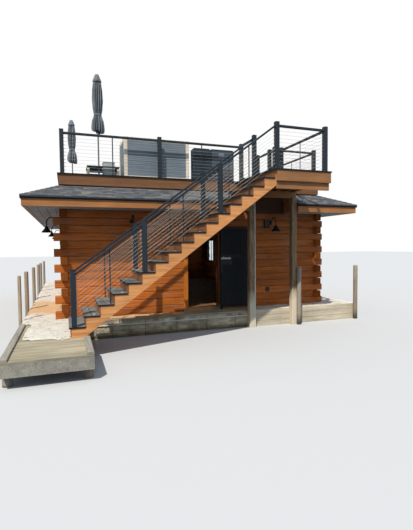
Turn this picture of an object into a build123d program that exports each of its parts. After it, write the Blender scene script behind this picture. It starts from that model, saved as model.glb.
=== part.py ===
from build123d import *
import math
import os

# Log boathouse on a dock crib, with an outside stair to its roof deck.
# Millimetres. +Z is up, +X runs to the right along the front wall, and +Y runs back.
# The origin is at water level, under the middle of the log walls.

# Round pieces are prisms with this many sides
round_sides = 12

# Log walls
wall_w = 7070.0
wall_d = 9750.0
log_h = 184.0
log_t = 150.0
log_bevel = 13.0
log_ear = 125.0
courses = 14
door_courses = 11
sill_courses = 5

# Dock
dock_top = 430.0
dock_board_t = 40.0
dock_front = 480.0
dock_left = 850.0
dock_right = 910.0
dock_back = 1350.0
face_board_t = 55.0
face_board_gap = 6.0

# Walkway that joins the front left corner
walkway_w = 1360.0
walkway_l = 2900.0
walkway_beam_h = 200.0
walkway_beam_t = 90.0
walkway_board_t = 40.0
curb_w = 110.0
curb_h = 38.0
walkway_pile_d = 160.0

# Mooring piles
left_pile_d = 110.0
front_pile_d = 125.0
left_pile_h = 1050.0
front_pile_h = 1105.0
left_pile_from_front = (180.0, 1890.0, 4400.0)
left_pile_from_back = (3050.0, 1510.0, -1090.0)
post_pile_x = 115.0
corner_pile_in = 60.0

# Doorway and sliding door
door_left = 3088.0
door_w = 838.0
liner_t = 25.0
casing_w = 114.0
casing_t = 20.0
threshold_h = 90.0
floor_t = 60.0
leaf_lap = 58.0
leaf_held = 40.0
guide_l = 30.0
guide_gap = 5.5
guide_wall = 5.0
guide_foot = 6.0
guide_rise = 34.0
leaf_t = 44.0
leaf_h = 2074.0
leaf_floor_gap = 55.0
leaf_wall_gap = 34.0
plank_w = 87.0
plank_groove = 6.0
plank_groove_depth = 4.0
track_h = 44.0
track_w = 62.0
track_wall = 4.0
track_slot = 18.0
wheel_d = 30.0
wheel_t = 12.0
hanger_t = 8.0
hanger_w = 70.0
hasp_l = 285.0
hasp_h = 42.0
hasp_t = 6.0
hasp_z = 1335.0

# Windows
window_w = 920.0
window_frame_w = 60.0
window_frame_d = 96.0
window_bar_w = 44.0
glass_t = 6.0
side_window_end = 950.0
back_window_end = 1660.0

# Eave and skirt roof
eave_out = 757.0
soffit_t = 14.0
fascia_h = 150.0
fascia_t = 38.0
drip_h = 50.0
drip_t = 6.0
drip_flange = 58.0
skirt_t = 26.0
skirt_rise = 331.0
band_t = 140.0
band_inset = 20.0
flashing_h = 33.0

# Roof deck
rim_h = 235.0
rim_t = 40.0
deck_board_t = 30.0
deck_over = 25.0
joist_t = 45.0
joist_count = 13

# Stair
riser_count = 17
deck_step = 43.0
tread_run = 269.1
first_nosing = 139.0
stair_outer = 2100.0
stair_inner = 880.0
tread_t = 32.0
tread_nose = 27.0
riser_t = 19.0
stringer_t = 38.0
stringer_inset = 14.0
stringer_toe = 30.0
stringer_foot = 292.0
light_d = 82.0
light_h = 12.0
light_inset = 116.0
light_set = 198.0

# Landing
landing_rim_left = 4510.0
landing_w = 1400.0
landing_out = 2130.0
landing_over = 18.0
landing_board_t = 30.0
landing_beam_h = 166.0
landing_beam_t = 45.0
landing_beam_inset = 50.0
landing_joists = 4
landing_post_w = 150.0
landing_post_bevel = 12.0
landing_post_x = (4635.0, 5855.0)
post_beam_t = 90.0
notch_gap = 8.0

# Railings
post_w = 95.0
post_h = 1005.0
cap_over = 5.0
cap_h = 15.0
rail_w = 60.0
rail_h = 50.0
rail_mid = 935.0
stair_rail_mid = 885.0
cable_d = 5.0
cable_count = 10
picket_w = 20.0
post_inset = 90.0
stair_post_set = 100.0
stair_post_in = 60.0
front_post_x = (2410.0, 4670.0, 5910.0)
side_bays = 4
back_bays = 3
return_rail_x = 5700.0
return_rail_y = (100.0, 390.0, 1130.0)
seat_gap = 0.3

# Lamps and boxes
lamp_z = 2310.0
lamp_out = 320.0
lamp_rise = 144.0
lamp_drop = 86.0
lamp_plate_d = 100.0
lamp_plate_t = 18.0
lamp_tube_d = 20.0
shade_d = 264.0
shade_h = 120.0
shade_neck_h = 34.0
shade_neck_d = 64.0
front_lamp_x = (1660.0, 5500.0)
alarm_box = (140.0, 60.0, 220.0)
alarm_box_x = 5375.0
alarm_box_z = 2280.0
socket_box = (95.0, 42.0, 115.0)
socket_box_x = 5401.0
socket_box_z = 472.0
pipe_d = 26.0
pipe_z = 300.0

# Things fixed on the roof deck
cabinet_w = 1690.0
cabinet_d = 900.0
cabinet_h = 1030.0
cabinet_x = 1550.0
cabinet_y = 260.0
cabinet_frame = 85.0
cabinet_slat = 46.0
unit_h = 880.0
unit_d = 400.0
unit_w = (480.0, 670.0)
unit_past_cabinet = 120.0
unit_y = 260.0
unit_gap = 12.0
unit_edge = 28.0
table_w = 800.0
table_d = 620.0
table_h = 450.0
table_top_t = 60.0
table_body_w = 330.0
parasol_h = 2680.0
parasol_pole_d = 38.0
parasol_base_d = 420.0
parasol_base_h = 60.0
near_parasol = (980.0, 850.0)
far_parasol = (410.0, 4850.0)
table_shift = 90.0
pole_below_top = 40.0
cover_l = 1500.0
# The tied cloth: its radius at each distance below the parasol's top
cover_rings = (
    (140.0, cover_l),
    (168.0, 1400.0),
    (152.0, 1180.0),
    (96.0, 1020.0),
    (112.0, 960.0),
    (140.0, 640.0),
    (112.0, 200.0),
    (92.0, 140.0),
    (52.0, 10.0),
    (20.0, 0.0),
)

# Places that follow from the sizes above
x_left = -wall_w / 2
x_right = wall_w / 2
y_front = -wall_d / 2
y_back = wall_d / 2
wall_top = dock_top + courses * log_h
eave_top = wall_top + fascia_h + drip_h + 10.0
skirt_top = eave_top + skirt_rise
rim_bottom = skirt_top + flashing_h
rim_top = rim_bottom + rim_h
deck_top = rim_top + deck_board_t
landing_top = deck_top - deck_step
rise = (landing_top - dock_top) / riser_count
slope = rise / tread_run
nosing_x = x_left + first_nosing
crib_front_y = y_front - dock_front
door_x0 = x_left + door_left
door_x1 = door_x0 + door_w
opening_top = dock_top + door_courses * log_h


def block(x0, x1, y0, y1, z0, z1):
    """A box between two corners."""
    size = Box(x1 - x0, y1 - y0, z1 - z0, align=(Align.MIN, Align.MIN, Align.MIN))
    return Pos(x0, y0, z0) * size


def plate_xz(points, y0, y1):
    """A flat outline in X and Z, made solid from y0 to y1."""
    face = make_face(Polyline(*[(px, pz) for px, pz in points], close=True))
    return Pos(0, y1, 0) * extrude(Plane.XZ * face, amount=y1 - y0)


def plate_yz(points, x0, x1):
    """A flat outline in Y and Z, made solid from x0 to x1."""
    face = make_face(Polyline(*[(py, pz) for py, pz in points], close=True))
    return Pos(x0, 0, 0) * extrude(Plane.YZ * face, amount=x1 - x0)


def turned(profile):
    """A few-sided round form about Z, from its radii and heights, lowest first."""
    rings = []
    for radius, height in profile:
        turns = [2 * math.pi * index / round_sides for index in range(round_sides)]
        rings.append([(radius * math.cos(turn), radius * math.sin(turn), height) for turn in turns])
    outlines = [rings[0][::-1], rings[-1]]
    for low, high in zip(rings, rings[1:]):
        for index in range(round_sides):
            after = (index + 1) % round_sides
            outlines.append([low[index], low[after], high[after], high[index]])
    return Solid(Shell([Face(Wire.make_polygon(outline)) for outline in outlines]))


def rod(x, y, z0, z1, diameter):
    """An upright round bar."""
    return Pos(x, y, z0) * extrude(RegularPolygon(diameter / 2, round_sides), amount=z1 - z0)


def ribbon(points, width):
    """The outline of a strip of even width that follows a bent line."""
    left = []
    right = []
    for index, (px, py) in enumerate(points):
        before = points[max(index - 1, 0)]
        after = points[min(index + 1, len(points) - 1)]
        in_x, in_y = px - before[0], py - before[1]
        out_x, out_y = after[0] - px, after[1] - py
        in_l = math.hypot(in_x, in_y) or 1.0
        out_l = math.hypot(out_x, out_y) or 1.0
        tx, ty = in_x / in_l + out_x / out_l, in_y / in_l + out_y / out_l
        length = math.hypot(tx, ty)
        tx, ty = tx / length, ty / length
        bend = tx * out_x / out_l + ty * out_y / out_l if out_x or out_y else 1.0
        half = width / 2 / bend
        left.append((px - ty * half, py + tx * half))
        right.append((px + ty * half, py - tx * half))
    return left + right[::-1]


def fuse(shapes):
    """One shape from pieces that touch or cross."""
    return shapes[0] + shapes[1:] if len(shapes) > 1 else shapes[0]


def save(name, shapes):
    """Write one node. Each entry of shapes stays a solid of its own."""
    solids = []
    for shape in shapes:
        solids.extend(shape.solids())
    whole = Compound(children=solids)
    export_step(whole, "parts/" + name + ".step")


def log_outline(offset, level):
    """The end of one squared log, bevelled on its outer face and planed flat inside."""
    b = log_bevel
    t = log_t
    h = log_h
    outline = [(0, b), (b, 0), (t, 0), (t, h), (b, h), (0, h - b)]
    if offset > 0:
        outline = [(t - across, up) for across, up in outline]
    return [(offset + across, level + up) for across, up in outline]


def log_along_x(x0, x1, y0, course):
    level = dock_top + course * log_h
    return plate_yz(log_outline(y0, level), x0, x1)


def log_along_y(y0, y1, x0, course):
    level = dock_top + course * log_h
    return plate_xz(log_outline(x0, level), y0, y1)


def is_long(course):
    """Even counts from zero: these logs of the front and back walls pass the corners."""
    return course % 2 == 0


os.makedirs("parts", exist_ok=True)

# Dock crib: a concrete curb all round and two cross walls under the boards
crib_x0 = x_left - dock_left
crib_x1 = x_right + dock_right
crib_y0 = crib_front_y
crib_y1 = y_back + dock_back
crib_top = dock_top - dock_board_t
crib = block(crib_x0, crib_x1, crib_y0, crib_y1, 0, crib_top)
crib = chamfer(crib.edges().filter_by(Axis.Z), 25.0)
save("dock_crib", [crib])

# The right-hand part of the front face, beyond the first landing post, is boarded
post_a_x = x_left + landing_post_x[0]
post_b_x = x_left + landing_post_x[1]
face_x0 = post_a_x + landing_post_w / 2 + pipe_d + 8.0
face_rows = 3
face_row_h = (dock_top - face_board_gap * (face_rows - 1)) / face_rows
face_boards = []
for row in range(face_rows):
    z0 = row * (face_row_h + face_board_gap)
    face_boards.append(block(face_x0, crib_x1, crib_y0 - face_board_t, crib_y0, z0, z0 + face_row_h))
save("dock_face_boards", face_boards)

# Dock boards over the crib and over the walkway that joins it
dock_deck = block(crib_x0, crib_x1, crib_y0, crib_y1, crib_top, dock_top)
walk_x0 = crib_x0
walk_x1 = crib_x0 + walkway_w
walk_y0 = crib_y0 - walkway_l
walk_y1 = crib_y0 - seat_gap
walk_under = dock_top - walkway_board_t
walk_deck = block(walk_x0, walk_x1, walk_y0, walk_y1, walk_under, dock_top)
save("dock_boards", [dock_deck, walk_deck])

# Walkway section that joins the front left corner and carries the stair's foot
beams = []
for bx in (walk_x0, walk_x1 - walkway_beam_t):
    beams.append(block(bx, bx + walkway_beam_t, walk_y0, walk_y1, walk_under - walkway_beam_h, walk_under))
beam_x0 = walk_x0 + walkway_beam_t + seat_gap
beam_x1 = walk_x1 - walkway_beam_t - seat_gap
cross_count = 4
for index in range(cross_count):
    cy = walk_y0 + (walk_y1 - walk_y0 - walkway_beam_t) * index / (cross_count - 1)
    z0 = walk_under - walkway_beam_h
    beams.append(block(beam_x0, beam_x1, cy, cy + walkway_beam_t, z0, walk_under))
walk_piles = []
for bx in (walk_x0 + walkway_pile_d / 2, walk_x1 - walkway_pile_d / 2):
    for share in (0.06, 0.55):
        py = walk_y0 + share * walkway_l + walkway_pile_d / 2
        walk_piles.append(rod(bx, py, 0, walk_under - walkway_beam_h, walkway_pile_d))
stair_y0 = y_front - stair_outer
stair_y1 = y_front - stair_inner
curbs = [
    block(walk_x0, walk_x0 + curb_w, walk_y0, walk_y1, dock_top, dock_top + curb_h),
    block(walk_x1 - curb_w, walk_x1, walk_y0, stair_y0 - 60.0, dock_top, dock_top + curb_h),
]
curbs = [chamfer(c.edges().filter_by(Axis.Y).group_by(Axis.Z)[-1], 8.0) for c in curbs]
save("walkway_timbers", beams + curbs)

# Mooring piles stand in the water against the dock
piles = []
left_pile_ys = [y_front + py for py in left_pile_from_front] + [y_back - py for py in left_pile_from_back]
for py in left_pile_ys:
    piles.append(rod(crib_x0 - left_pile_d / 2, py, 0, dock_top + left_pile_h, left_pile_d))
# The first front pile stands against the corner of the landing post, the second against the dock
pile_r = front_pile_d / 2
past_corner = post_pile_x - landing_post_w / 2 + landing_post_bevel
pile_flat = pile_r * math.cos(math.pi / round_sides)
stand_off = pile_flat * math.sqrt(2) - past_corner + seat_gap
front_pile_y = (
    crib_y0 - face_board_t - landing_post_w - stand_off,
    crib_y0 - face_board_t - pile_r,
)
front_pile_x = (x_left + landing_post_x[1] + post_pile_x, crib_x1 - corner_pile_in)
for px, pile_y in zip(front_pile_x, front_pile_y):
    piles.append(rod(px, pile_y, 0, dock_top + front_pile_h, front_pile_d))
save("piles", piles + walk_piles)

# Front wall: two pieces beside the doorway and whole logs over it
rough_x0 = door_x0 - liner_t
rough_x1 = door_x1 + liner_t
left_logs = []
right_logs = []
for course in range(door_courses):
    end = log_ear if is_long(course) else -log_t
    left_logs.append(log_along_x(x_left - end, rough_x0, y_front, course))
    right_logs.append(log_along_x(rough_x1, x_right + end, y_front, course))
save("front_wall_left", [fuse(left_logs)])
save("front_wall_right", [fuse(right_logs)])
header_logs = []
for course in range(door_courses, courses):
    end = log_ear if is_long(course) else -log_t
    header_logs.append(log_along_x(x_left - end, x_right + end, y_front, course))
save("front_wall_header", [fuse(header_logs)])

# Window openings
sill_z = dock_top + sill_courses * log_h
window_h = (door_courses - sill_courses) * log_h
side_window_ys = [y_front + side_window_end, 0.0, y_back - side_window_end]
back_window_xs = [x_left + back_window_end, x_right - back_window_end]


def side_wall(x0):
    logs = []
    for course in range(courses):
        end = -log_t if is_long(course) else log_ear
        logs.append(log_along_y(y_front - end, y_back + end, x0, course))
    wall = fuse(logs)
    for wy in side_window_ys:
        wall -= block(
            x0 - 50, x0 + log_t + 50, wy - window_w / 2, wy + window_w / 2, sill_z, sill_z + window_h
        )
    return wall


save("left_wall", [side_wall(x_left)])
save("right_wall", [side_wall(x_right - log_t)])

back_logs = []
for course in range(courses):
    end = log_ear if is_long(course) else -log_t
    back_logs.append(log_along_x(x_left - end, x_right + end, y_back - log_t, course))
back_wall = fuse(back_logs)
for wx in back_window_xs:
    back_wall -= block(
        wx - window_w / 2, wx + window_w / 2, y_back - log_t - 50, y_back + 50, sill_z, sill_z + window_h
    )
save("back_wall", [back_wall])

# Inside floor
room_x0 = x_left + log_t
room_x1 = x_right - log_t
room_y0 = y_front + log_t
room_y1 = y_back - log_t
save("floor", [block(room_x0, room_x1, room_y0, room_y1, dock_top, dock_top + floor_t)])

# Doorway: liners with their casings, head and threshold
casing_y = y_front - casing_t
liner_top = opening_top - liner_t
jamb_top = liner_top - seat_gap


def side_jamb(inner_x, way):
    """The liner and casing on one side; way is -1 on the left and +1 on the right."""
    liner = block(
        min(inner_x, inner_x + way * liner_t),
        max(inner_x, inner_x + way * liner_t),
        y_front,
        y_front + log_t,
        dock_top,
        jamb_top,
    )
    casing = block(
        min(inner_x, inner_x + way * casing_w),
        max(inner_x, inner_x + way * casing_w),
        casing_y,
        y_front,
        dock_top,
        jamb_top,
    )
    return liner + casing


head = block(rough_x0, rough_x1, y_front, y_front + log_t, liner_top, opening_top)
head += block(
    door_x0 - casing_w, door_x1 + casing_w, casing_y, y_front, liner_top, liner_top + casing_w
)
threshold = block(
    door_x0 + seat_gap, door_x1 - seat_gap, y_front - 28.0, y_front + log_t, dock_top, dock_top + threshold_h
)
threshold = chamfer(threshold.edges().filter_by(Axis.X).group_by(Axis.Z)[-1].sort_by(Axis.Y)[0], 14.0)
save("door_frame", [side_jamb(door_x0, -1), side_jamb(door_x1, 1), head, threshold])

# Sliding door, standing open to the right of the doorway
leaf_w = door_w + 2 * leaf_lap
leaf_x0 = door_x1 + leaf_lap
leaf_x1 = leaf_x0 + leaf_w
leaf_travel = leaf_w - leaf_held
leaf_y1 = y_front - leaf_wall_gap
leaf_y0 = leaf_y1 - leaf_t
leaf_z0 = dock_top + leaf_floor_gap
leaf_z1 = leaf_z0 + leaf_h
leaf = block(leaf_x0, leaf_x1, leaf_y0, leaf_y1, leaf_z0, leaf_z1)
plank_count = int(leaf_w / plank_w)
for index in range(1, plank_count):
    gx = leaf_x0 + leaf_w * index / plank_count
    groove = [
        (gx - plank_groove / 2, leaf_y0),
        (gx + plank_groove / 2, leaf_y0),
        (gx, leaf_y0 + plank_groove_depth),
    ]
    face = make_face(Polyline(*groove, close=True))
    leaf -= Pos(0, 0, leaf_z0) * extrude(Plane.XY * face, amount=leaf_h)
save("door_leaf", [leaf])

# Hasp and pull at the leading edge
hasp_y1 = leaf_y0
hasp_y0 = leaf_y0 - hasp_t
hasp_x0 = leaf_x0 + 6.0
hasp_zz = dock_top + hasp_z
hasp = block(hasp_x0, hasp_x0 + hasp_l, hasp_y0, hasp_y1, hasp_zz, hasp_zz + hasp_h)
hasp = chamfer(hasp.edges().filter_by(Axis.Y), hasp_h * 0.3)
staple = block(
    hasp_x0 + 58.0, hasp_x0 + 76.0, hasp_y0 - 26.0, hasp_y0, hasp_zz + 10.0, hasp_zz + hasp_h + 22.0
)
staple = chamfer(staple.edges().filter_by(Axis.X), 6.0)
save("door_hasp", [hasp + staple])

# Track along the wall head and the hangers that run in it
track_z0 = leaf_z1 + 6.0
track_z1 = track_z0 + track_h
track_mid_y = (leaf_y0 + leaf_y1) / 2
track_y0 = track_mid_y - track_w / 2
track_y1 = track_mid_y + track_w / 2
track_x0 = leaf_x0 - leaf_travel - 12.0
track_x1 = leaf_x1 + 12.0
lip_z = track_z0 + track_wall
half_slot = track_slot / 2
track_profile = [
    (track_y0, track_z0),
    (track_mid_y - half_slot, track_z0),
    (track_mid_y - half_slot, lip_z),
    (track_y0 + track_wall, lip_z),
    (track_y0 + track_wall, track_z1 - track_wall),
    (track_y1 - track_wall, track_z1 - track_wall),
    (track_y1 - track_wall, lip_z),
    (track_mid_y + half_slot, lip_z),
    (track_mid_y + half_slot, track_z0),
    (track_y1, track_z0),
    (track_y1, track_z1),
    (track_y0, track_z1),
]
track = plate_yz(track_profile, track_x0, track_x1)
packer_count = 4
packers = []
for index in range(packer_count):
    bx = track_x0 + 60.0 + (track_x1 - track_x0 - 180.0) * index / (packer_count - 1)
    packers.append(block(bx, bx + 60.0, track_y1, y_front, track_z0 + 8.0, track_z1 - 4.0))
save("door_track", [fuse([track] + packers)])

hangers = []
for hx in (leaf_x0 + 130.0, leaf_x1 - 130.0):
    stem = block(
        hx - hanger_w / 2,
        hx + hanger_w / 2,
        track_mid_y - hanger_t / 2,
        track_mid_y + hanger_t / 2,
        leaf_z1,
        lip_z + seat_gap + wheel_d / 2 + 5.0,
    )
    wheels = [stem]
    for side in (-1, 1):
        wheel = Pos(0, 0, -wheel_t / 2) * rod(0, 0, 0, wheel_t, wheel_d)
        wheel_y = track_mid_y + side * (hanger_t / 2 + wheel_t / 2)
        wheels.append(Pos(hx, wheel_y, lip_z + seat_gap + wheel_d / 2) * Rot(90, 0, 0) * wheel)
    hangers.append(fuse(wheels))
save("door_hangers", hangers)

# Guide beside the doorway, where the leaf's edge stays in it open and closed
guide_x0 = leaf_x0 + (leaf_held - guide_l) / 2
guide_x1 = guide_x0 + guide_l
guide_top = dock_top + leaf_floor_gap + guide_rise
guide_profile = [
    (leaf_y0 - guide_gap - guide_wall, dock_top),
    (leaf_y1 + guide_gap + guide_wall, dock_top),
    (leaf_y1 + guide_gap + guide_wall, guide_top),
    (leaf_y1 + guide_gap, guide_top),
    (leaf_y1 + guide_gap, dock_top + guide_foot),
    (leaf_y0 - guide_gap, dock_top + guide_foot),
    (leaf_y0 - guide_gap, guide_top),
    (leaf_y0 - guide_gap - guide_wall, guide_top),
]
save("door_guide", [plate_yz(guide_profile, guide_x0, guide_x1)])


# Windows
def window_frame():
    """A frame with one upright bar, its outer face towards -Y, centred on X and Y."""
    w = window_w
    h = window_h
    f = window_frame_w
    d = window_frame_d
    frame = block(-w / 2, w / 2, -d / 2, d / 2, 0, h)
    frame -= block(-w / 2 + f, w / 2 - f, -d, d, f, h - f)
    frame += block(-window_bar_w / 2, window_bar_w / 2, -d / 4, glass_t / 2 - glass_t, f, h - f)
    return frame


def window_glass():
    f = window_frame_w
    return block(
        -window_w / 2 + f, window_w / 2 - f, -glass_t / 2, glass_t / 2, f, window_h - f
    )


window_spots = []
for wy in side_window_ys:
    window_spots.append(Pos(x_left + log_t / 2, wy, sill_z) * Rot(0, 0, -90))
    window_spots.append(Pos(x_right - log_t / 2, wy, sill_z) * Rot(0, 0, 90))
for wx in back_window_xs:
    window_spots.append(Pos(wx, y_back - log_t / 2, sill_z) * Rot(0, 0, 180))
save("window_frames", [spot * window_frame() for spot in window_spots])
save("window_glass", [spot * window_glass() for spot in window_spots])

# Band that carries the roof deck above the logs
band_top = rim_bottom
band_x0 = x_left + band_inset
band_x1 = x_right - band_inset
band_y0 = y_front + band_inset
band_y1 = y_back - band_inset
band = [
    block(band_x0, band_x1, band_y0, band_y0 + band_t, wall_top, band_top),
    block(band_x0, band_x1, band_y1 - band_t, band_y1, wall_top, band_top),
    block(
        band_x0,
        band_x0 + band_t,
        band_y0 + band_t + seat_gap,
        band_y1 - band_t - seat_gap,
        wall_top,
        band_top,
    ),
    block(
        band_x1 - band_t,
        band_x1,
        band_y0 + band_t + seat_gap,
        band_y1 - band_t - seat_gap,
        wall_top,
        band_top,
    ),
]
save("deck_band", band)


def rectangle_ring(out, inner, z0, z1):
    """A flat ring round the walls, out and inner measured outwards from the log faces."""
    ring = block(x_left - out, x_right + out, y_front - out, y_back + out, z0, z1)
    hole = block(
        x_left - inner, x_right + inner, y_front - inner, y_back + inner, z0 - 10, z1 + 10
    )
    return ring - hole


# The roof is notched where the landing crosses it
rim_left_x = x_left + landing_rim_left
rim_right_x = rim_left_x + landing_w
notch_x0 = rim_left_x - notch_gap
notch_x1 = max(rim_right_x, post_b_x + landing_post_w / 2) + notch_gap
notch = block(notch_x0, notch_x1, y_front - eave_out - 100, band_y0, wall_top - 50, rim_bottom)


def hip_wedges():
    """Four blocks, front, left, back and right, that meet along the hips."""
    out = eave_out + 60.0
    into = 500.0
    g = seat_gap * 0.75
    z0 = wall_top - 100.0
    wedges = []
    for way in (-1, 1):
        y_wall = way * wall_d / 2
        x_wall = way * wall_w / 2
        across = [
            (x_left - out + g, y_wall + way * out),
            (x_right + out - g, y_wall + way * out),
            (x_right - into - g, y_wall - way * into),
            (x_left + into + g, y_wall - way * into),
        ]
        back = [
            (x_wall + way * out, y_front - out + g),
            (x_wall + way * out, y_back + out - g),
            (x_wall - way * into, y_back - into - g),
            (x_wall - way * into, y_front + into + g),
        ]
        for outline in (across, back):
            face = make_face(Polyline(*outline, close=True))
            wedge = Pos(0, 0, z0) * extrude(face, amount=1500.0)
            wedges.append(wedge)
    return wedges


def mitred(ring):
    """The four sides of a ring round the roof, parted along the hips."""
    return [ring & wedge for wedge in hip_wedges()]


drip_face = eave_out
fascia_face = eave_out - drip_t - 20.0
soffit = rectangle_ring(fascia_face - fascia_t, 0, wall_top, wall_top + soffit_t) - notch
save("soffit", mitred(soffit))

fascia_z0 = wall_top - 6.0
fascia_z1 = wall_top + fascia_h
fascia = rectangle_ring(fascia_face, fascia_face - fascia_t, fascia_z0, fascia_z1) - notch
cheek_slope = skirt_rise / (eave_out + band_inset)
cheek_y0 = y_front - fascia_face + fascia_t + seat_gap
cheek = [
    (cheek_y0, wall_top + soffit_t),
    (band_y0, wall_top + soffit_t),
    (band_y0, skirt_top - skirt_t - seat_gap),
    (cheek_y0, eave_top - skirt_t - seat_gap + cheek_slope * (cheek_y0 - y_front + eave_out)),
]
cheek_left = plate_yz(cheek, notch_x0 - fascia_t, notch_x0)
cheek_right = plate_yz(cheek, notch_x1, notch_x1 + fascia_t)
save("fascia", mitred(fascia) + [cheek_left, cheek_right])

drip = rectangle_ring(drip_face, drip_face - drip_t, fascia_z1, eave_top - skirt_t)
drip += rectangle_ring(
    drip_face, drip_face - drip_flange, eave_top - skirt_t - drip_t, eave_top - skirt_t
)
drip += rectangle_ring(drip_face, fascia_face - fascia_t, fascia_z1, fascia_z1 + 4.0)
save("drip_edge", mitred(drip - notch))


def skirt_slope(wall, band):
    """The section of the skirt roof from its eave up to the band."""
    eave = wall + math.copysign(eave_out, wall)
    return [(eave, eave_top - skirt_t), (eave, eave_top), (band, skirt_top), (band, skirt_top - skirt_t)]


eave_x = x_right + eave_out
eave_y = y_back + eave_out
slopes = [
    plate_yz(skirt_slope(y_front, band_y0), -eave_x, eave_x) - notch,
    plate_xz(skirt_slope(x_left, band_x0), -eave_y, eave_y),
    plate_yz(skirt_slope(y_back, band_y1), -eave_x, eave_x),
    plate_xz(skirt_slope(x_right, band_x1), -eave_y, eave_y),
]
save("skirt_roof", [part & wedge for part, wedge in zip(slopes, hip_wedges())])

# Roof deck
rim = [
    block(x_left, x_right, y_front, y_front + rim_t, rim_bottom, rim_top),
    block(x_left, x_right, y_back - rim_t, y_back, rim_bottom, rim_top),
    block(
        x_left, x_left + rim_t, y_front + rim_t + seat_gap, y_back - rim_t - seat_gap, rim_bottom, rim_top
    ),
    block(
        x_right - rim_t, x_right, y_front + rim_t + seat_gap, y_back - rim_t - seat_gap, rim_bottom, rim_top
    ),
]
joists = []
joist_span = wall_d - 2 * rim_t - joist_t
for index in range(1, joist_count + 1):
    jy = y_front + rim_t + joist_span * index / (joist_count + 1)
    joists.append(
        block(x_left + rim_t + seat_gap, x_right - rim_t - seat_gap, jy, jy + joist_t, rim_bottom, rim_top)
    )
save("deck_frame", rim + joists)
deck_x0 = x_left - deck_over
deck_x1 = x_right + deck_over
deck_y0 = y_front - deck_over
deck_y1 = y_back + deck_over
save("roof_deck", [block(deck_x0, deck_x1, deck_y0, deck_y1, rim_top, deck_top)])

# Landing
landing_y0 = y_front - landing_out
land_under = landing_top - landing_board_t
land_rim_z0 = land_under - rim_h
landing_frame = [
    block(rim_left_x, rim_right_x, landing_y0, landing_y0 + rim_t, land_rim_z0, land_under),
    block(rim_left_x, rim_right_x, y_front - rim_t, y_front, land_rim_z0, land_under),
]
joist_y0 = landing_y0 + rim_t + seat_gap
joist_y1 = y_front - rim_t - seat_gap
joist_step = (landing_w - rim_t) / (landing_joists + 1)
for index in range(landing_joists + 2):
    jx = rim_left_x + joist_step * index
    landing_frame.append(block(jx, jx + rim_t, joist_y0, joist_y1, land_rim_z0, land_under))
save("landing_frame", landing_frame)

nosing_top_x = nosing_x + (riser_count - 1) * tread_run
landing_deck = block(
    nosing_top_x, rim_right_x + landing_over, landing_y0 - landing_over, y_front, land_under, landing_top
)
save("landing_boards", [landing_deck])

post_y1 = crib_y0
post_y0 = crib_y0 - face_board_t - landing_post_w
beam_z0 = land_rim_z0 - landing_beam_h
front_beam_y0 = landing_y0 + landing_beam_inset
post_beam_y = (post_y0 + post_y1) / 2
landing_beams = [
    block(
        rim_left_x,
        rim_right_x - 20.0,
        front_beam_y0,
        front_beam_y0 + landing_beam_t,
        beam_z0,
        land_rim_z0,
    ),
    block(
        rim_left_x,
        max(rim_right_x, post_b_x + landing_post_w / 2),
        post_beam_y - post_beam_t / 2,
        post_beam_y + post_beam_t / 2,
        beam_z0,
        land_rim_z0,
    ),
]
save("landing_beams", landing_beams)
landing_posts = []
for px, py in ((post_a_x, post_y1), (post_b_x, post_y1 - face_board_t)):
    half = landing_post_w / 2
    post = block(px - half, px + half, py - landing_post_w, py, 0, beam_z0)
    landing_posts.append(chamfer(post.edges().filter_by(Axis.Z), landing_post_bevel))
save("landing_posts", landing_posts)

# Stair: two cut stringers, sixteen treads and seventeen risers
treads = []
risers = []
for step in range(1, riser_count + 1):
    sx = nosing_x + (step - 1) * tread_run
    top = dock_top + step * rise
    if step < riser_count:
        tread = block(sx, sx + tread_run + tread_nose, stair_y0, stair_y1, top - tread_t, top)
        nose = tread.edges().filter_by(Axis.Y).sort_by(Axis.X)[0:2]
        treads.append(chamfer(nose, 5.0))
    under = top - (tread_t if step < riser_count else landing_board_t)
    risers.append(
        block(
            sx + tread_nose,
            sx + tread_nose + riser_t,
            stair_y0 + stringer_inset,
            stair_y1 - stringer_inset,
            top - rise,
            under,
        )
    )
save("stair_treads", treads)
save("stair_risers", risers)

saw = [(nosing_x + tread_nose + riser_t, dock_top)]
for step in range(1, riser_count):
    sx = nosing_x + (step - 1) * tread_run
    level = dock_top + step * rise - tread_t
    saw.append((sx + tread_nose + riser_t, level))
    saw.append((sx + tread_run + tread_nose + riser_t, level))
last_x = nosing_top_x + tread_nose + riser_t
saw.append((last_x, land_under))
saw.append((rim_left_x, land_under))
foot_x = nosing_x + stringer_foot
end_z = dock_top + slope * (rim_left_x - foot_x)
saw.append((rim_left_x, end_z))
saw.append((foot_x, dock_top))
stringers = []
for sy in (stair_y0 + stringer_inset, stair_y1 - stringer_inset - stringer_t):
    stringers.append(plate_xz(saw, sy, sy + stringer_t))
save("stair_stringers", stringers)

lights = []
for step in range(2, riser_count, 2):
    sx = nosing_x + (step - 1) * tread_run
    lights.append(
        rod(
            sx + light_set,
            stair_y0 + light_inset,
            dock_top + step * rise,
            dock_top + step * rise + light_h,
            light_d,
        )
    )
save("step_lights", lights)


# Railings: each flat side is one frame of posts, top rail, mid picket and cables
def railing_post(x, y, base):
    """A square post with its flat cap."""
    half = post_w / 2
    cap = half + cap_over
    shaft = block(x - half, x + half, y - half, y + half, base, base + post_h)
    top = block(x - cap, x + cap, y - cap, y + cap, base + post_h, base + post_h + cap_h)
    return shaft + top


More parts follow.
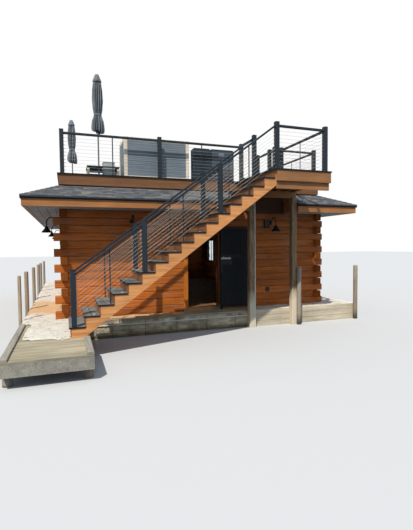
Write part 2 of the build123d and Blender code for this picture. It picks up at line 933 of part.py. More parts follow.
def bay(along, across, start, stop, base0, base1, mid, picket):
    """Rail, cables and picket between two posts; along is 'x' or 'y'."""
    plate = plate_xz if along == "x" else plate_yz

    def strip(offset, height, width, into):
        s0 = start - into
        s1 = stop + into
        rate = (base1 - base0) / (stop - start)
        z0 = base0 + offset + rate * (s0 - start)
        z1 = base0 + offset + rate * (s1 - start)
        outline = [
            (s0, z0 - height / 2),
            (s1, z1 - height / 2),
            (s1, z1 + height / 2),
            (s0, z0 + height / 2),
        ]
        return plate(outline, across - width / 2, across + width / 2)

    pieces = [strip(mid, rail_h, rail_w, 0)]
    clear = mid - rail_h / 2
    for index in range(1, cable_count + 1):
        pieces.append(strip(clear * index / (cable_count + 1), cable_d, cable_d, 0))
    if picket:
        centre = (start + stop) / 2
        base = (base0 + base1) / 2
        outline = [
            (centre - picket_w / 2, base + picket),
            (centre + picket_w / 2, base + picket),
            (centre + picket_w / 2, base + mid),
            (centre - picket_w / 2, base + mid),
        ]
        side = across + cable_d / 2 + seat_gap
        pieces.append(plate(outline, side, side + picket_w / 2))
    return pieces


def level_bay(along, across, start, stop, base, picket=True):
    return bay(along, across, start, stop, base, base, rail_mid, 0.01 if picket else 0)


half_post = post_w / 2
left_x = x_left + post_inset
right_x = x_right - post_inset
front_y = y_front + post_inset
rear_y = y_back - post_inset
mid_x = x_left + front_post_x[0]
gate_left_x = x_left + front_post_x[1]
gate_right_x = x_left + front_post_x[2]

front_rail = [railing_post(px, front_y, deck_top) for px in (left_x, mid_x, gate_left_x)]
front_rail += level_bay("x", front_y, left_x + half_post, mid_x - half_post, deck_top)
front_rail += level_bay("x", front_y, mid_x + half_post, gate_left_x - half_post, deck_top)
corner_rail = [railing_post(px, front_y, deck_top) for px in (gate_right_x, right_x)]
corner_rail += level_bay("x", front_y, gate_right_x + half_post, right_x - half_post, deck_top, False)


def side_railing(x):
    step = (rear_y - front_y) / side_bays
    pieces = []
    for index in range(side_bays):
        y0 = front_y + step * index + half_post
        y1 = front_y + step * (index + 1) - half_post
        gap = seat_gap if index == 0 else 0
        pieces += level_bay("y", x, y0 + gap, y1, deck_top)
        pieces.append(railing_post(x, front_y + step * (index + 1), deck_top))
    return fuse(pieces)


back_step = (right_x - left_x) / back_bays
back_rail = []
for index in range(back_bays):
    x0 = left_x + back_step * index + half_post
    x1 = left_x + back_step * (index + 1) - half_post
    gap0 = seat_gap if index == 0 else 0
    gap1 = seat_gap if index == back_bays - 1 else 0
    back_rail += level_bay("x", rear_y, x0 + gap0, x1 - gap1, deck_top)
    if index < back_bays - 1:
        back_rail.append(railing_post(left_x + back_step * (index + 1), rear_y, deck_top))
deck_sides = [side_railing(left_x), side_railing(right_x)]
save("deck_railings", [fuse(front_rail), fuse(corner_rail), fuse(back_rail)] + deck_sides)

# Landing railings
outer_y = stair_y0 + stair_post_in
inner_y = stair_y1 - stair_post_in
top_post_x = nosing_top_x + stair_post_set
far_post_x = rim_right_x - landing_over - post_inset
land_front = [railing_post(top_post_x, outer_y, landing_top)]
far_end_x = far_post_x - half_post - cap_over - seat_gap
land_front += level_bay("x", outer_y, top_post_x + half_post, far_end_x, landing_top, False)
land_right = [railing_post(far_post_x, outer_y, landing_top)]
land_right += level_bay(
    "y", far_post_x, outer_y + half_post, y_front - deck_over - seat_gap, landing_top
)
land_left = [railing_post(top_post_x, inner_y, landing_top)]
land_left += level_bay(
    "y", top_post_x, inner_y + half_post, y_front - deck_over - seat_gap, landing_top, False
)


# Stair railings
def stair_railing(y):
    pieces = []
    post_steps = (1, 6, 12)
    for step in post_steps:
        px = nosing_x + (step - 1) * tread_run + stair_post_set
        pieces.append(railing_post(px, y, dock_top + step * rise))
    ends = list(post_steps) + [riser_count]
    for index in range(len(post_steps)):
        x0 = nosing_x + (ends[index] - 1) * tread_run + stair_post_set + half_post
        x1 = nosing_x + (ends[index + 1] - 1) * tread_run + stair_post_set - half_post
        if index == len(post_steps) - 1:
            x1 -= seat_gap
        base0 = dock_top + rise + slope * (x0 - nosing_x)
        base1 = dock_top + rise + slope * (x1 - nosing_x)
        centre_x = (x0 + x1) / 2
        tread_step = int((centre_x - nosing_x) / tread_run) + 1
        drop = dock_top + tread_step * rise - (base0 + base1) / 2
        pieces += bay("x", y, x0, x1, base0, base1, stair_rail_mid, drop + 0.01)
    return fuse(pieces)


save("stair_railings", [stair_railing(outer_y), stair_railing(inner_y)])

# Short length of railing that turns back from the landing into the roof deck
return_x = x_left + return_rail_x
return_ys = [y_front + ry for ry in return_rail_y]
return_rail = [railing_post(return_x, ry, deck_top) for ry in return_ys]
for y0, y1 in zip(return_ys, return_ys[1:]):
    return_rail += level_bay("y", return_x, y0 + half_post, y1 - half_post, deck_top, False)
landing_rails = [fuse(land_front), fuse(land_right), fuse(land_left), fuse(return_rail)]
save("landing_railings", landing_rails)


# Wall lamps on swan necks
def lamp_arm():
    """Wall plate and bent tube, the wall face at y = 0 and the lamp out towards -Y."""
    plate = Rot(90, 0, 0) * rod(0, 0, 0, lamp_plate_t, lamp_plate_d)
    path = [
        (-lamp_plate_t, 0),
        (-lamp_out * 0.2, lamp_rise * 0.1),
        (-lamp_out * 0.34, lamp_rise * 0.62),
        (-lamp_out * 0.55, lamp_rise * 0.97),
        (-lamp_out * 0.8, lamp_rise * 0.9),
        (-lamp_out * 0.96, lamp_rise * 0.45),
        (-lamp_out, lamp_rise * 0.1),
        (-lamp_out, -lamp_drop),
    ]
    half = lamp_tube_d / 2
    return plate + plate_yz(ribbon(path, lamp_tube_d), -half, half)


def lamp_shade():
    """A round metal shade with its neck under the tube's end, closed by a flat lens."""
    r = shade_d / 2
    n = shade_neck_d / 2
    h = shade_h
    return turned([(r, 0), (r, h * 0.12), (n * 1.7, h * 0.86), (n, h), (n, h + shade_neck_h)])


lamp_spots = []
for lx in front_lamp_x:
    lamp_spots.append(Pos(x_left + lx, y_front, dock_top + lamp_z))
for ly in side_window_ys:
    lamp_spots.append(Pos(x_left, ly, dock_top + lamp_z) * Rot(0, 0, -90))
    lamp_spots.append(Pos(x_right, ly, dock_top + lamp_z) * Rot(0, 0, 90))
arms = []
shades = []
shade_z = -lamp_drop - shade_h - shade_neck_h
for spot in lamp_spots:
    arms.append(spot * lamp_arm())
    shades.append(spot * Pos(0, -lamp_out, shade_z) * lamp_shade())
save("lamp_arms", arms)
save("lamp_shades", shades)


def wall_box(size, x, z, edge):
    w, d, h = size
    box = block(x - w / 2, x + w / 2, y_front - d, y_front, z - h / 2, z + h / 2)
    return chamfer(box.edges().filter_by(Axis.Y), edge)


save(
    "wall_boxes",
    [
        wall_box(alarm_box, x_left + alarm_box_x, dock_top + alarm_box_z, 6.0),
        wall_box(socket_box, x_left + socket_box_x, dock_top + socket_box_z, 6.0),
    ],
)

# Conduit along the crib face and up the first landing post
pipe_y = crib_y0 - pipe_d / 2
pipe_x0 = walk_x1 + seat_gap
pipe_l = post_a_x - landing_post_w / 2 - seat_gap - pipe_x0
up_x = post_a_x + landing_post_w / 2 + pipe_d / 2
pipes = [
    Pos(pipe_x0, pipe_y, pipe_z) * Rot(0, 90, 0) * rod(0, 0, 0, pipe_l, pipe_d),
    rod(up_x, post_y1 - landing_post_w / 2, 0, beam_z0, pipe_d),
]
save("conduits", pipes)

# Framed cabinet behind the front railing
cab_x0 = x_left + cabinet_x
cab_x1 = cab_x0 + cabinet_w
cab_y0 = y_front + cabinet_y
cab_y1 = cab_y0 + cabinet_d
cab_z1 = deck_top + cabinet_h
frame_parts = []
f = cabinet_frame
for cx in (cab_x0, cab_x1 - f):
    for cy in (cab_y0, cab_y1 - f):
        frame_parts.append(block(cx, cx + f, cy, cy + f, deck_top, cab_z1))
in_x0 = cab_x0 + f + seat_gap
in_x1 = cab_x1 - f - seat_gap
in_y0 = cab_y0 + f + seat_gap
in_y1 = cab_y1 - f - seat_gap
for cz in (deck_top, cab_z1 - f):
    for cy in (cab_y0, cab_y1 - f):
        frame_parts.append(block(in_x0, in_x1, cy, cy + f, cz, cz + f))
    for cx in (cab_x0, cab_x1 - f):
        frame_parts.append(block(cx, cx + f, in_y0, in_y1, cz, cz + f))
save("cabinet_frame", frame_parts)
core = block(
    cab_x0 + 22.0, cab_x1 - 22.0, cab_y0 + 22.0, cab_y1 - 22.0, deck_top + f, cab_z1 - f
)
for cx in (cab_x0, cab_x1 - f):
    for cy in (cab_y0, cab_y1 - f):
        core -= block(cx, cx + f, cy, cy + f, deck_top, cab_z1)
save("cabinet_panels", [core])

# Two louvred units beside it
units = []
ux = cab_x1 + unit_past_cabinet
for uw in unit_w:
    body = block(ux, ux + uw, y_front + unit_y, y_front + unit_y + unit_d, deck_top, deck_top + unit_h)
    body = chamfer(body.edges().filter_by(Axis.Y).group_by(Axis.Z)[-1], unit_edge)
    units.append(body)
    ux += uw + unit_gap
save("louvred_units", units)

# Low table round the near parasol
par_x = x_left + near_parasol[0]
par_y = y_front + near_parasol[1]
table_z = deck_top + table_h
table_hole = parasol_pole_d + 12.0
table_x = par_x + table_shift
top = block(
    table_x - table_w / 2,
    table_x + table_w / 2,
    par_y - table_d / 2,
    par_y + table_d / 2,
    table_z - table_top_t,
    table_z,
)
top = chamfer(top.edges().filter_by(Axis.Z), 20.0)
half_body = table_body_w / 2
body = block(
    table_x - half_body,
    table_x + half_body,
    par_y - half_body,
    par_y + half_body,
    deck_top,
    table_z - table_top_t - seat_gap,
)
pole_hole = rod(par_x, par_y, deck_top, table_z + 10, table_hole)
save("low_table", [top - pole_hole, body - pole_hole])

# Closed parasols: pole and foot, and the cloth tied round it
far_x = x_left + far_parasol[0]
far_y = y_front + far_parasol[1]
pole_top = deck_top + parasol_h - pole_below_top
poles = [
    rod(par_x, par_y, deck_top, pole_top, parasol_pole_d),
    rod(far_x, far_y, deck_top, pole_top, parasol_pole_d),
]
pole_room = parasol_pole_d + 2 * seat_gap
foot = rod(far_x, far_y, deck_top, deck_top + parasol_base_h, parasol_base_d)
foot -= rod(far_x, far_y, deck_top - 10, deck_top + parasol_base_h + 10, pole_room)
save("parasol_poles", poles + [foot])


def parasol_cover():
    """The tied cloth as one closed form round the pole: cap, body, waist and skirt."""
    outline = [(radius, parasol_h - below) for radius, below in cover_rings]
    room = parasol_pole_d + 2 * seat_gap
    low = parasol_h - cover_l - room
    return turned(outline) - rod(0, 0, low, parasol_h - pole_below_top + seat_gap, room)


covers = [
    Pos(par_x, par_y, deck_top) * parasol_cover(),
    Pos(far_x, far_y, deck_top) * parasol_cover(),
]
save("parasol_covers", covers)
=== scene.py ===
import bpy
import bmesh
import math
import random
from mathutils import Matrix, Vector, noise


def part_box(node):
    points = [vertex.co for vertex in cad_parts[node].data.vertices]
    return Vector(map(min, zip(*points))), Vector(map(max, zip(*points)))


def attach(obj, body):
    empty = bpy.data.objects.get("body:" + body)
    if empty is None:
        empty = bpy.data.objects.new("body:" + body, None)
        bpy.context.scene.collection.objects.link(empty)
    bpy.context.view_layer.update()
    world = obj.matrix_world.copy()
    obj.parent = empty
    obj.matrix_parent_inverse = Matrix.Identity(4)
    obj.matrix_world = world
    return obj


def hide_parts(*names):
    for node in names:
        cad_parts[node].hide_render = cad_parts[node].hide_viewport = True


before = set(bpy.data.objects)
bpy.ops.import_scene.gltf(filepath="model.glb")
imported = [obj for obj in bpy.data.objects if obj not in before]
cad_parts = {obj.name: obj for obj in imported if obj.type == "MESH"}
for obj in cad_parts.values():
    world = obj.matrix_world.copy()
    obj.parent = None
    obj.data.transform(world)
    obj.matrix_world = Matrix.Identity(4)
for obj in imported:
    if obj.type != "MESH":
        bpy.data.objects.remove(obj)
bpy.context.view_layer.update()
random.seed(4411)

# Sizes repeated from the part's source, in metres
WALL_X = 3.535
WALL_Y = 4.875
DOCK = 0.430
LOG_H = 0.184
LOG_T = 0.150
COURSES = 14
DOOR_COURSES = 11
SILL_COURSES = 5
DOOR_ROUGH = (-0.472, 0.416)
WINDOW_W = 0.920
SIDE_WINDOWS = (-3.925, 0.0, 3.925)
BACK_WINDOWS = (-1.875, 1.875)
EAVE_OUT = 0.757
SKIRT_LOW = 3.216
SKIRT_HIGH = 3.547
SKIRT_IN = 0.020
NOTCH = (0.967, 2.403)
DECK_Z = 3.845
WALKWAY_W = 1.360
WALKWAY_L = 2.9
NOSING_X = -3.396
RUN = 0.2691
RISE = 0.19835
RISERS = 17
TREAD_Y = (-6.975, -5.755)
TREAD_T = 0.032
TREAD_OVER = 0.027
LANDING_Z = DOCK + RISERS * RISE
POST_W = 0.095
POST_H = 1.005
CAP_H = 0.015
RAIL_W = 0.060
RAIL_H = 0.050
RAIL_IN = 0.090
CABLES = 10
CABLE_R = 0.0025
LAMP_OUT = 0.320
LAMP_Z = DOCK + 2.310
LAMP_RISE = 0.144
LAMP_DROP = 0.086
SHADE_R = 0.122
SHADE_H = 0.120
PARASOL_H = 2.680
PARASOL_NEAR = (-2.555, -4.025)
PARASOL_FAR = (-3.125, -0.025)

# How much is cut off an edge: fine trim, thin trim, boards, and bars and posts
FINE_EDGE = 0.001
THIN_EDGE = 0.002
BOARD_EDGE = 0.003
BAR_EDGE = 0.004


# Colours
def srgb(text):
    """A written colour such as 'a5540f' in linear values."""
    values = []
    for start in (0, 2, 4):
        value = int(text[start:start + 2], 16) / 255
        values.append(value / 12.92 if value <= 0.04045 else ((value + 0.055) / 1.055) ** 2.4)
    return tuple(values)


def shade(colour, factor):
    return tuple(min(1.0, channel * factor) for channel in colour)


def rgba(value):
    """Four channels from a written colour, a grey value or three linear values."""
    if isinstance(value, str):
        value = srgb(value)
    elif isinstance(value, (int, float)):
        value = (value, value, value)
    return (*value, 1)


# Node helpers
class Value:
    """A node's output that can be added, multiplied and compared; | takes the larger of two."""

    def __init__(self, nodes, socket):
        self.nodes = nodes
        self.socket = socket

    def __add__(self, other):
        return self.nodes.math("ADD", self, other)

    def __sub__(self, other):
        return self.nodes.math("SUBTRACT", self, other)

    def __rsub__(self, other):
        return self.nodes.math("SUBTRACT", other, self)

    def __mul__(self, other):
        return self.nodes.math("MULTIPLY", self, other)

    def __truediv__(self, other):
        return self.nodes.math("DIVIDE", self, other)

    def __gt__(self, other):
        return self.nodes.math("GREATER_THAN", self, other)

    def __lt__(self, other):
        return self.nodes.math("LESS_THAN", self, other)

    def __or__(self, other):
        return self.nodes.math("MAXIMUM", self, other)

    def __abs__(self):
        return self.nodes.math("ABSOLUTE", self)


class Nodes:
    """Fills one node tree, of a material or of the world."""

    def __init__(self, tree):
        self.tree = tree
        tree.nodes.clear()

    def feed(self, socket, value):
        """Links a socket to an output, or sets it to a number or a colour."""
        if isinstance(value, Value):
            value = value.socket
        if isinstance(value, bpy.types.NodeSocket):
            self.tree.links.new(value, socket)
        else:
            socket.default_value = rgba(value) if socket.type == "RGBA" else value

    def add(self, kind, inputs=None, **settings):
        node = self.tree.nodes.new("ShaderNode" + kind)
        for key, value in settings.items():
            setattr(node, key, value)
        for key, value in (inputs or {}).items():
            self.feed(node.inputs[key], value)
        return node

    def math(self, operation, *values):
        node = self.add("Math", dict(enumerate(values)), operation=operation)
        return Value(self, node.outputs[0])

    def seen_or_not(self, seen, other, output):
        """Shows one shader to the camera, in mirrors and through glass, and the other to all other rays."""
        rays = self.add("LightPath").outputs
        factor = Value(self, rays["Is Camera Ray"])
        for kind in ("Is Glossy Ray", "Is Transmission Ray"):
            factor = factor | rays[kind]
        chosen = self.add("MixShader", {0: factor, 1: other.outputs[0], 2: seen.outputs[0]})
        self.add(output, {0: chosen.outputs[0]})


class Mat(Nodes):
    """One procedural material, built node by node in the object's own coordinates."""

    def __init__(self, name, base, rough, metal=0.0, spec=0.4):
        self.mat = bpy.data.materials.new(name)
        self.mat.use_nodes = True
        super().__init__(self.mat.node_tree)
        self.bsdf = self.add("BsdfPrincipled", {"Base Color": base, "Roughness": rough, "Metallic": metal,
                                                "Specular IOR Level": spec})
        self.add("OutputMaterial", {0: self.bsdf.outputs[0]})
        self.position = self.add("TexCoord").outputs["Object"]

    def scaled(self, stretch, offset):
        mapping = self.add("Mapping", {"Scale": stretch, "Location": offset, "Vector": self.position})
        return mapping.outputs["Vector"]

    def noise(self, scale, stretch=(1, 1, 1), detail=4.0, rough=0.55, offset=(0, 0, 0), warp=0.0):
        node = self.add("TexNoise", {"Scale": scale, "Detail": detail, "Roughness": rough,
                                     "Distortion": warp, "Vector": self.scaled(stretch, offset)})
        return Value(self, node.outputs["Fac"])

    def cells(self, scale, stretch=(1, 1, 1), offset=(0, 0, 0), feature="F1"):
        node = self.add("TexVoronoi", {"Scale": scale, "Vector": self.scaled(stretch, offset)},
                        feature=feature)
        return Value(self, node.outputs["Distance"])

    def ramp(self, value, *stops):
        node = self.add("ValToRGB", {"Fac": value})
        elements = node.color_ramp.elements
        while len(elements) < len(stops):
            elements.new(0.5)
        for element, (place, colour) in zip(elements, stops):
            element.position = place
            element.color = rgba(colour)
        return Value(self, node.outputs["Color"])

    def mix(self, factor, under, over, blend="MIX"):
        # Of this node's sockets, 6 and 7 are the two colours in, and 2 is the colour out
        node = self.add("Mix", {0: factor, 6: under, 7: over}, data_type="RGBA", blend_type=blend)
        return Value(self, node.outputs[2])

    def vary(self, under, value, low, high, amount=1.0):
        """Darkens or lightens a colour with a value, between two stops."""
        return self.mix(amount, under, self.ramp(value, low, high), "MULTIPLY")

    def cover(self, under, over, value, low, high):
        """Lays a colour over another as a value says, between two stops."""
        return self.mix(self.ramp(value, low, high), under, over)

    def axis(self, name):
        return Value(self, self.add("SeparateXYZ", {0: self.position}).outputs[name])

    def tone(self):
        """The tone of the single board, log or shingle that the point is on."""
        return Value(self, self.add("Attribute", attribute_name="tone").outputs["Fac"])

    def seams(self, along, pitch, width, shift=0.0):
        """1 in a narrow line at each pitch along an axis value, 0 elsewhere."""
        cell = self.math("FRACT", (along + (100.0 * pitch + shift)) / pitch)
        return abs(cell - 0.5) > 0.5 - width / pitch / 2

    def finish(self, colour, rough=None, height=None, strength=0.0, distance=0.0):
        """Sets colour, roughness and bump; rough may be a value and its roughness at 0.3 and at 0.7."""
        self.feed(self.bsdf.inputs["Base Color"], colour)
        if isinstance(rough, tuple):
            value, low, high = rough
            rough = self.ramp(value, (0.3, low), (0.7, high))
        if rough is not None:
            self.feed(self.bsdf.inputs["Roughness"], rough)
        if height is not None:
            bump = self.add("Bump", {"Strength": strength, "Distance": distance, "Height": height})
            self.feed(self.bsdf.inputs["Normal"], bump.outputs["Normal"])
        return self.mat


# Materials
GRAIN = 38.0
STRETCH = {"x": (0.06, 1, 1), "y": (1, 0.06, 1), "z": (1, 1, 0.06)}
KNOTS = {"x": (0.9, 2.6, 2.6), "y": (2.6, 0.9, 2.6), "z": (2.6, 2.6, 0.9)}
EAVE_SHADE_Z = 4.0


def wood(name, colour, grain, dark, light, rough=0.6, bump=0.3, tone=(0.8, 1.18), knots=0.0, spec=0.3,
         grey=None, grey_from=0.55, dust=None, painted_eave_shade=None):
    """Timber: long grain, bands, patches, grey wear, dust and knots, and painted shade towards the eave."""
    colour = srgb(colour)
    m = Mat(name, colour, rough, spec=spec)
    stretch = STRETCH[grain]
    fine = m.noise(GRAIN, stretch, detail=6, rough=0.62, warp=0.35)
    bands = m.noise(GRAIN * 0.28, stretch, detail=3, rough=0.5, offset=(3, 1, 2), warp=0.8)
    out = m.ramp(fine, (0.30, shade(colour, dark)), (0.52, colour), (0.74, shade(colour, light)))
    out = m.vary(out, bands, (0.35, 0.78), (0.6, 1.1), 0.75)
    out = m.vary(out, m.noise(1.4, detail=3), (0.35, 0.82), (0.65, 1.14), 0.7)
    out = m.vary(out, m.tone(), (0.0, tone[0]), (1.0, tone[1]))
    if grey:
        wear = m.noise(GRAIN * 0.16, stretch, detail=5, offset=(7, 3, 5))
        out = m.cover(out, grey, wear, (grey_from, 0.0), (grey_from + 0.16, 0.9))
    if dust:
        streaks = m.noise(GRAIN * 0.6, stretch, detail=3, offset=(5, 8, 2))
        out = m.cover(out, dust, streaks, (0.53, 0.0), (0.67, 0.6))
    # Painted shade: the colour darkens with height towards the top of the wall, under the eave
    if painted_eave_shade:
        out = m.vary(out, m.axis("Z") / EAVE_SHADE_Z, (0.53, 1.0), (0.74, painted_eave_shade))
    if knots:
        spot = m.cells(1.35, KNOTS[grain], (0.3, 0.7, 0.2))
        eye = m.ramp(spot, (0.035, 1.0), (0.075, 0.25), (0.14, 0.0))
        out = m.mix(eye * knots, out, shade(colour, 0.28))
    return m.finish(out, (fine, min(1.0, rough + 0.14), rough - 0.08), fine, bump, 0.002)


def painted(name, colour, rough=0.5, vary=0.1, spec=0.35, metal=0.0, worn=None):
    """Coated metal, plastic or paint: slight mottling, worn spots, fine orange peel."""
    colour = srgb(colour)
    m = Mat(name, colour, rough, metal, spec)
    broad = m.noise(2.7, detail=3)
    peel = m.noise(216, detail=2, offset=(2, 5, 1))
    out = m.ramp(broad, (0.3, shade(colour, 1 - vary)), (0.7, shade(colour, 1 + vary)))
    if worn:
        spots = m.noise(15.3, detail=7, rough=0.7, offset=(4, 4, 4))
        out = m.cover(out, worn, spots, (0.60, 0.0), (0.70, 0.75))
    return m.finish(out, (broad, rough - 0.06, min(1.0, rough + 0.1)), peel, 0.06, 0.001)


def concrete():
    """The crib's face: boarded joints, weathered grey, rust line and algae at the water."""
    m = Mat("crib_concrete", "77746a", 0.92, spec=0.2)
    z = m.axis("Z")
    lines = m.seams(m.axis("X") + m.axis("Y"), 0.78, 0.016) | m.seams(z, 0.215, 0.008, 0.05) * 0.6
    mottle = m.noise(3.2, (1, 1, 2.5), detail=8, rough=0.65)
    streaks = m.noise(7.0, (1, 1, 0.12), detail=4, offset=(5, 2, 0))
    out = m.ramp(mottle, (0.3, "766a54"), (0.5, "b5a68a"), (0.7, "eadcbd"))
    out = m.vary(out, streaks, (0.35, 0.72), (0.6, 1.1), 0.8)
    level = z - m.noise(2.0, detail=4, offset=(1, 9, 3)) * 0.09
    out = m.mix(m.ramp(level, (0.0, 1.0), (0.09, 0.0)) * 0.8, out, "45422c")
    out = m.mix(m.ramp(level, (0.0, 0.0), (0.0, 1.0), (0.028, 0.0)) * 0.85, out, "9a5426")
    out = m.mix(lines * 0.6, out, "3f3d36")
    return m.finish(out, (mottle, 0.98, 0.82), mottle - lines, 0.6, 0.008)


def sand():
    """Pale sand with dark specks, and sawdust beside and in front of the house."""
    m = Mat("spread_sand", "c9c3b6", 0.95, spec=0.1)
    beside = m.axis("X") < -3.1
    clumps = m.noise(6.5, detail=7, rough=0.7, offset=(3, 0, 1))
    out = m.ramp(clumps, (0.32, "756a59"), (0.39, "c2bbad"), (0.62, "d3cec4"))
    chips = m.ramp(m.cells(8.5, (1, 1, 0.2), (0.4, 0.1, 0)), (0.12, 1.0), (0.18, 0.0))
    kept = m.ramp(m.noise(2.6, detail=2, offset=(6, 2, 4)), (0.34, 0.0), (0.46, 0.9))
    out = m.mix(chips * kept, out, "54432f")
    out = m.vary(out, m.noise(60, detail=3), (0.3, 0.8), (0.7, 1.1), 0.5)
    place = m.axis("Y") + (m.noise(2.3, detail=4, offset=(8, 1, 0)) - 0.5) * 1.6
    near = m.ramp((place + 6.0) / 10.0, (0.185, 0.0), (0.215, 1.0), (0.44, 0.9), (0.48, 0.0))
    by_wall = m.ramp(m.axis("X"), (0.0, 1.0), (0.1, 0.0)) * (1.0 - beside)
    out = m.mix((near * beside | by_wall) * 0.75, out, "c29358")
    return m.finish(out, None, clumps, 0.7, 0.012)


def post_wood():
    """Landing posts: streaked grey-brown, pale specks, paler near the foot: partly wear, partly painted
    sunlight.
    """
    m = Mat("post_wood", "857663", 0.88, spec=0.15)
    streaks = m.noise(34, (1, 1, 0.07), detail=6, rough=0.65, warp=0.3)
    specks = m.noise(48, (1, 1, 0.35), detail=3, offset=(2, 6, 1))
    out = m.ramp(streaks, (0.32, "624a37"), (0.5, "8e755b"), (0.68, "af987b"))
    out = m.cover(out, "bfb29d", specks, (0.62, 0.0), (0.68, 0.6))
    # Paler towards the foot: partly weathered wood, partly painted sunlight
    height = m.axis("Z") + m.noise(6, (1, 1, 0.4), detail=4) * 0.6
    out = m.cover(out, "dfd0b6", height / 2.0, (0.46, 0.92), (0.66, 0.0))
    return m.finish(out, (streaks, 0.95, 0.8), streaks, 0.7, 0.004)


def jamb_wood():
    """Casings stained like the logs; the jamb right of the opening dark red, as painted shade on its reveal.
    """
    m = Mat("jamb_wood", "a8601f", 0.6, spec=0.15)
    grain = m.noise(GRAIN, STRETCH["z"], detail=6, rough=0.62, warp=0.35)
    left = m.ramp(grain, (0.30, "9a561b"), (0.52, "c07026"), (0.74, "ce7e35"))
    # Painted shade: the jamb right of the opening gets a dark red-brown for its shaded reveal
    right = m.ramp(grain, (0.30, "40200f"), (0.52, "573019"), (0.74, "74442a"))
    dust = m.ramp(m.axis("Z"), (0.47, 0.9), (0.60, 0.0)) * m.noise(5, detail=6, offset=(1, 1, 4))
    out = m.mix(dust, m.mix(m.axis("X") > 0.2, left, right), "a58a6d")
    return m.finish(out, (grain, 0.7, 0.5), grain, 0.3, 0.002)


def end_grain():
    """Sawn log ends: rings round the heart, cracks across them, darker for end grain and painted shade."""
    m = Mat("log_ends", "824719", 0.7, spec=0.1)
    rings = m.noise(34, detail=5, warp=1.4)
    # Dark base colour: part end grain, part painted shade of the corner recesses
    colour = srgb("86491a")
    out = m.ramp(rings, (0.3, shade(colour, 0.7)), (0.7, shade(colour, 1.1)))
    out = m.cover(out, "4a2810", m.cells(16, feature="DISTANCE_TO_EDGE"), (0.0, 0.6), (0.05, 0.0))
    out = m.vary(out, m.tone(), (0.0, 0.8), (1.0, 1.12))
    return m.finish(out, (rings, 0.85, 0.65), rings, 0.4, 0.002)


def shingle():
    """Mineral grit on tabs of five greys, with broad clouds of weather."""
    m = Mat("granule_shingle", "5d6063", 0.95, spec=0.15)
    grit = m.noise(160, detail=2)
    out = m.ramp(m.tone(), (0.0, "3f464d"), (0.25, "505459"), (0.6, "5d5f61"), (0.85, "6b6a68"),
                 (1.0, "817c76"))
    out = m.vary(out, grit, (0.3, 0.7), (0.7, 1.25), 0.8)
    out = m.vary(out, m.noise(5, detail=5, offset=(4, 1, 1)), (0.3, 0.85), (0.7, 1.12), 0.7)
    return m.finish(out, (grit, 1.0, 0.85), grit, 0.6, 0.002)


def soffit():
    """Grey boards across the eave, with dark joints; they turn with the side they are on."""
    m = Mat("soffit_boards", "8a8e90", 0.75, spec=0.2)
    x = m.axis("X")
    y = m.axis("Y")
    on_side = abs(x) - WALL_X > abs(y) - WALL_Y
    lines = m.seams(x, 0.190, 0.014) * on_side + m.seams(y, 0.190, 0.014) * (1.0 - on_side)
    dust = m.noise(4, detail=5)
    out = m.mix(lines * 0.85, m.ramp(dust, (0.3, "80868b"), (0.7, "9ba1a5")), "24282b")
    return m.finish(out, (dust, 0.85, 0.65), 1.0 - lines, 0.5, 0.004)


def door():
    """Blue-black paint on boards with a joint half way up: fine upright grain, dust low down."""
    m = Mat("door_paint", "10171b", 0.55, spec=0.12)
    z = m.axis("Z")
    grain = m.noise(46, (1, 1, 0.05), detail=6, rough=0.65)
    dust = m.ramp(z, (0.5, 1.0), (0.95, 0.0)) * m.noise(5, detail=6, offset=(1, 1, 4))
    joints = m.seams(m.axis("X"), 0.136, 0.006, 0.042) | (abs(z - 1.467) < 0.006)
    out = m.mix(dust * 0.25, m.ramp(grain, (0.3, "0b1013"), (0.7, "161e23")), "4a4a46")
    out = m.mix(joints * 0.8, out, "040607")
    return m.finish(out, (grain, 0.66, 0.5), grain - joints, 0.35, 0.002)


def cloth():
    """Woven grey cloth: crossed threads, faded ridges and a soft sheen."""
    m = Mat("cover_cloth", "4c5257", 0.9, spec=0.15)
    m.feed(m.bsdf.inputs["Sheen Weight"], 0.25)
    weft = m.noise(300, (0.2, 0.2, 1), detail=1, offset=(3, 3, 3))
    weave = (m.noise(300, (1, 1, 0.1), detail=1) + weft) * 0.5
    out = m.ramp(m.noise(3.5, (1, 1, 0.5)), (0.3, "545a5f"), (0.55, "6f757a"), (0.75, "8b9093"))
    out = m.vary(out, weave, (0.35, 0.8), (0.65, 1.2), 0.6)
    out = m.vary(out, m.tone(), (0.0, 0.92), (1.0, 1.08))
    return m.finish(out, m.ramp(weave, (0.35, 0.98), (0.65, 0.82)), weave, 0.35, 0.0015)


def glass():
    """Clear panes with a little haze."""
    m = Mat("window_pane", "dfe8ea", 0.03, spec=0.5)
    m.feed(m.bsdf.inputs["Transmission Weight"], 1.0)
    m.feed(m.bsdf.inputs["IOR"], 1.02)
    haze = m.noise(2.2)
    return m.finish(m.ramp(haze, (0.3, "d5e0e2"), (0.7, "ecf2f3")), m.ramp(haze, (0.4, 0.02), (0.8, 0.12)))


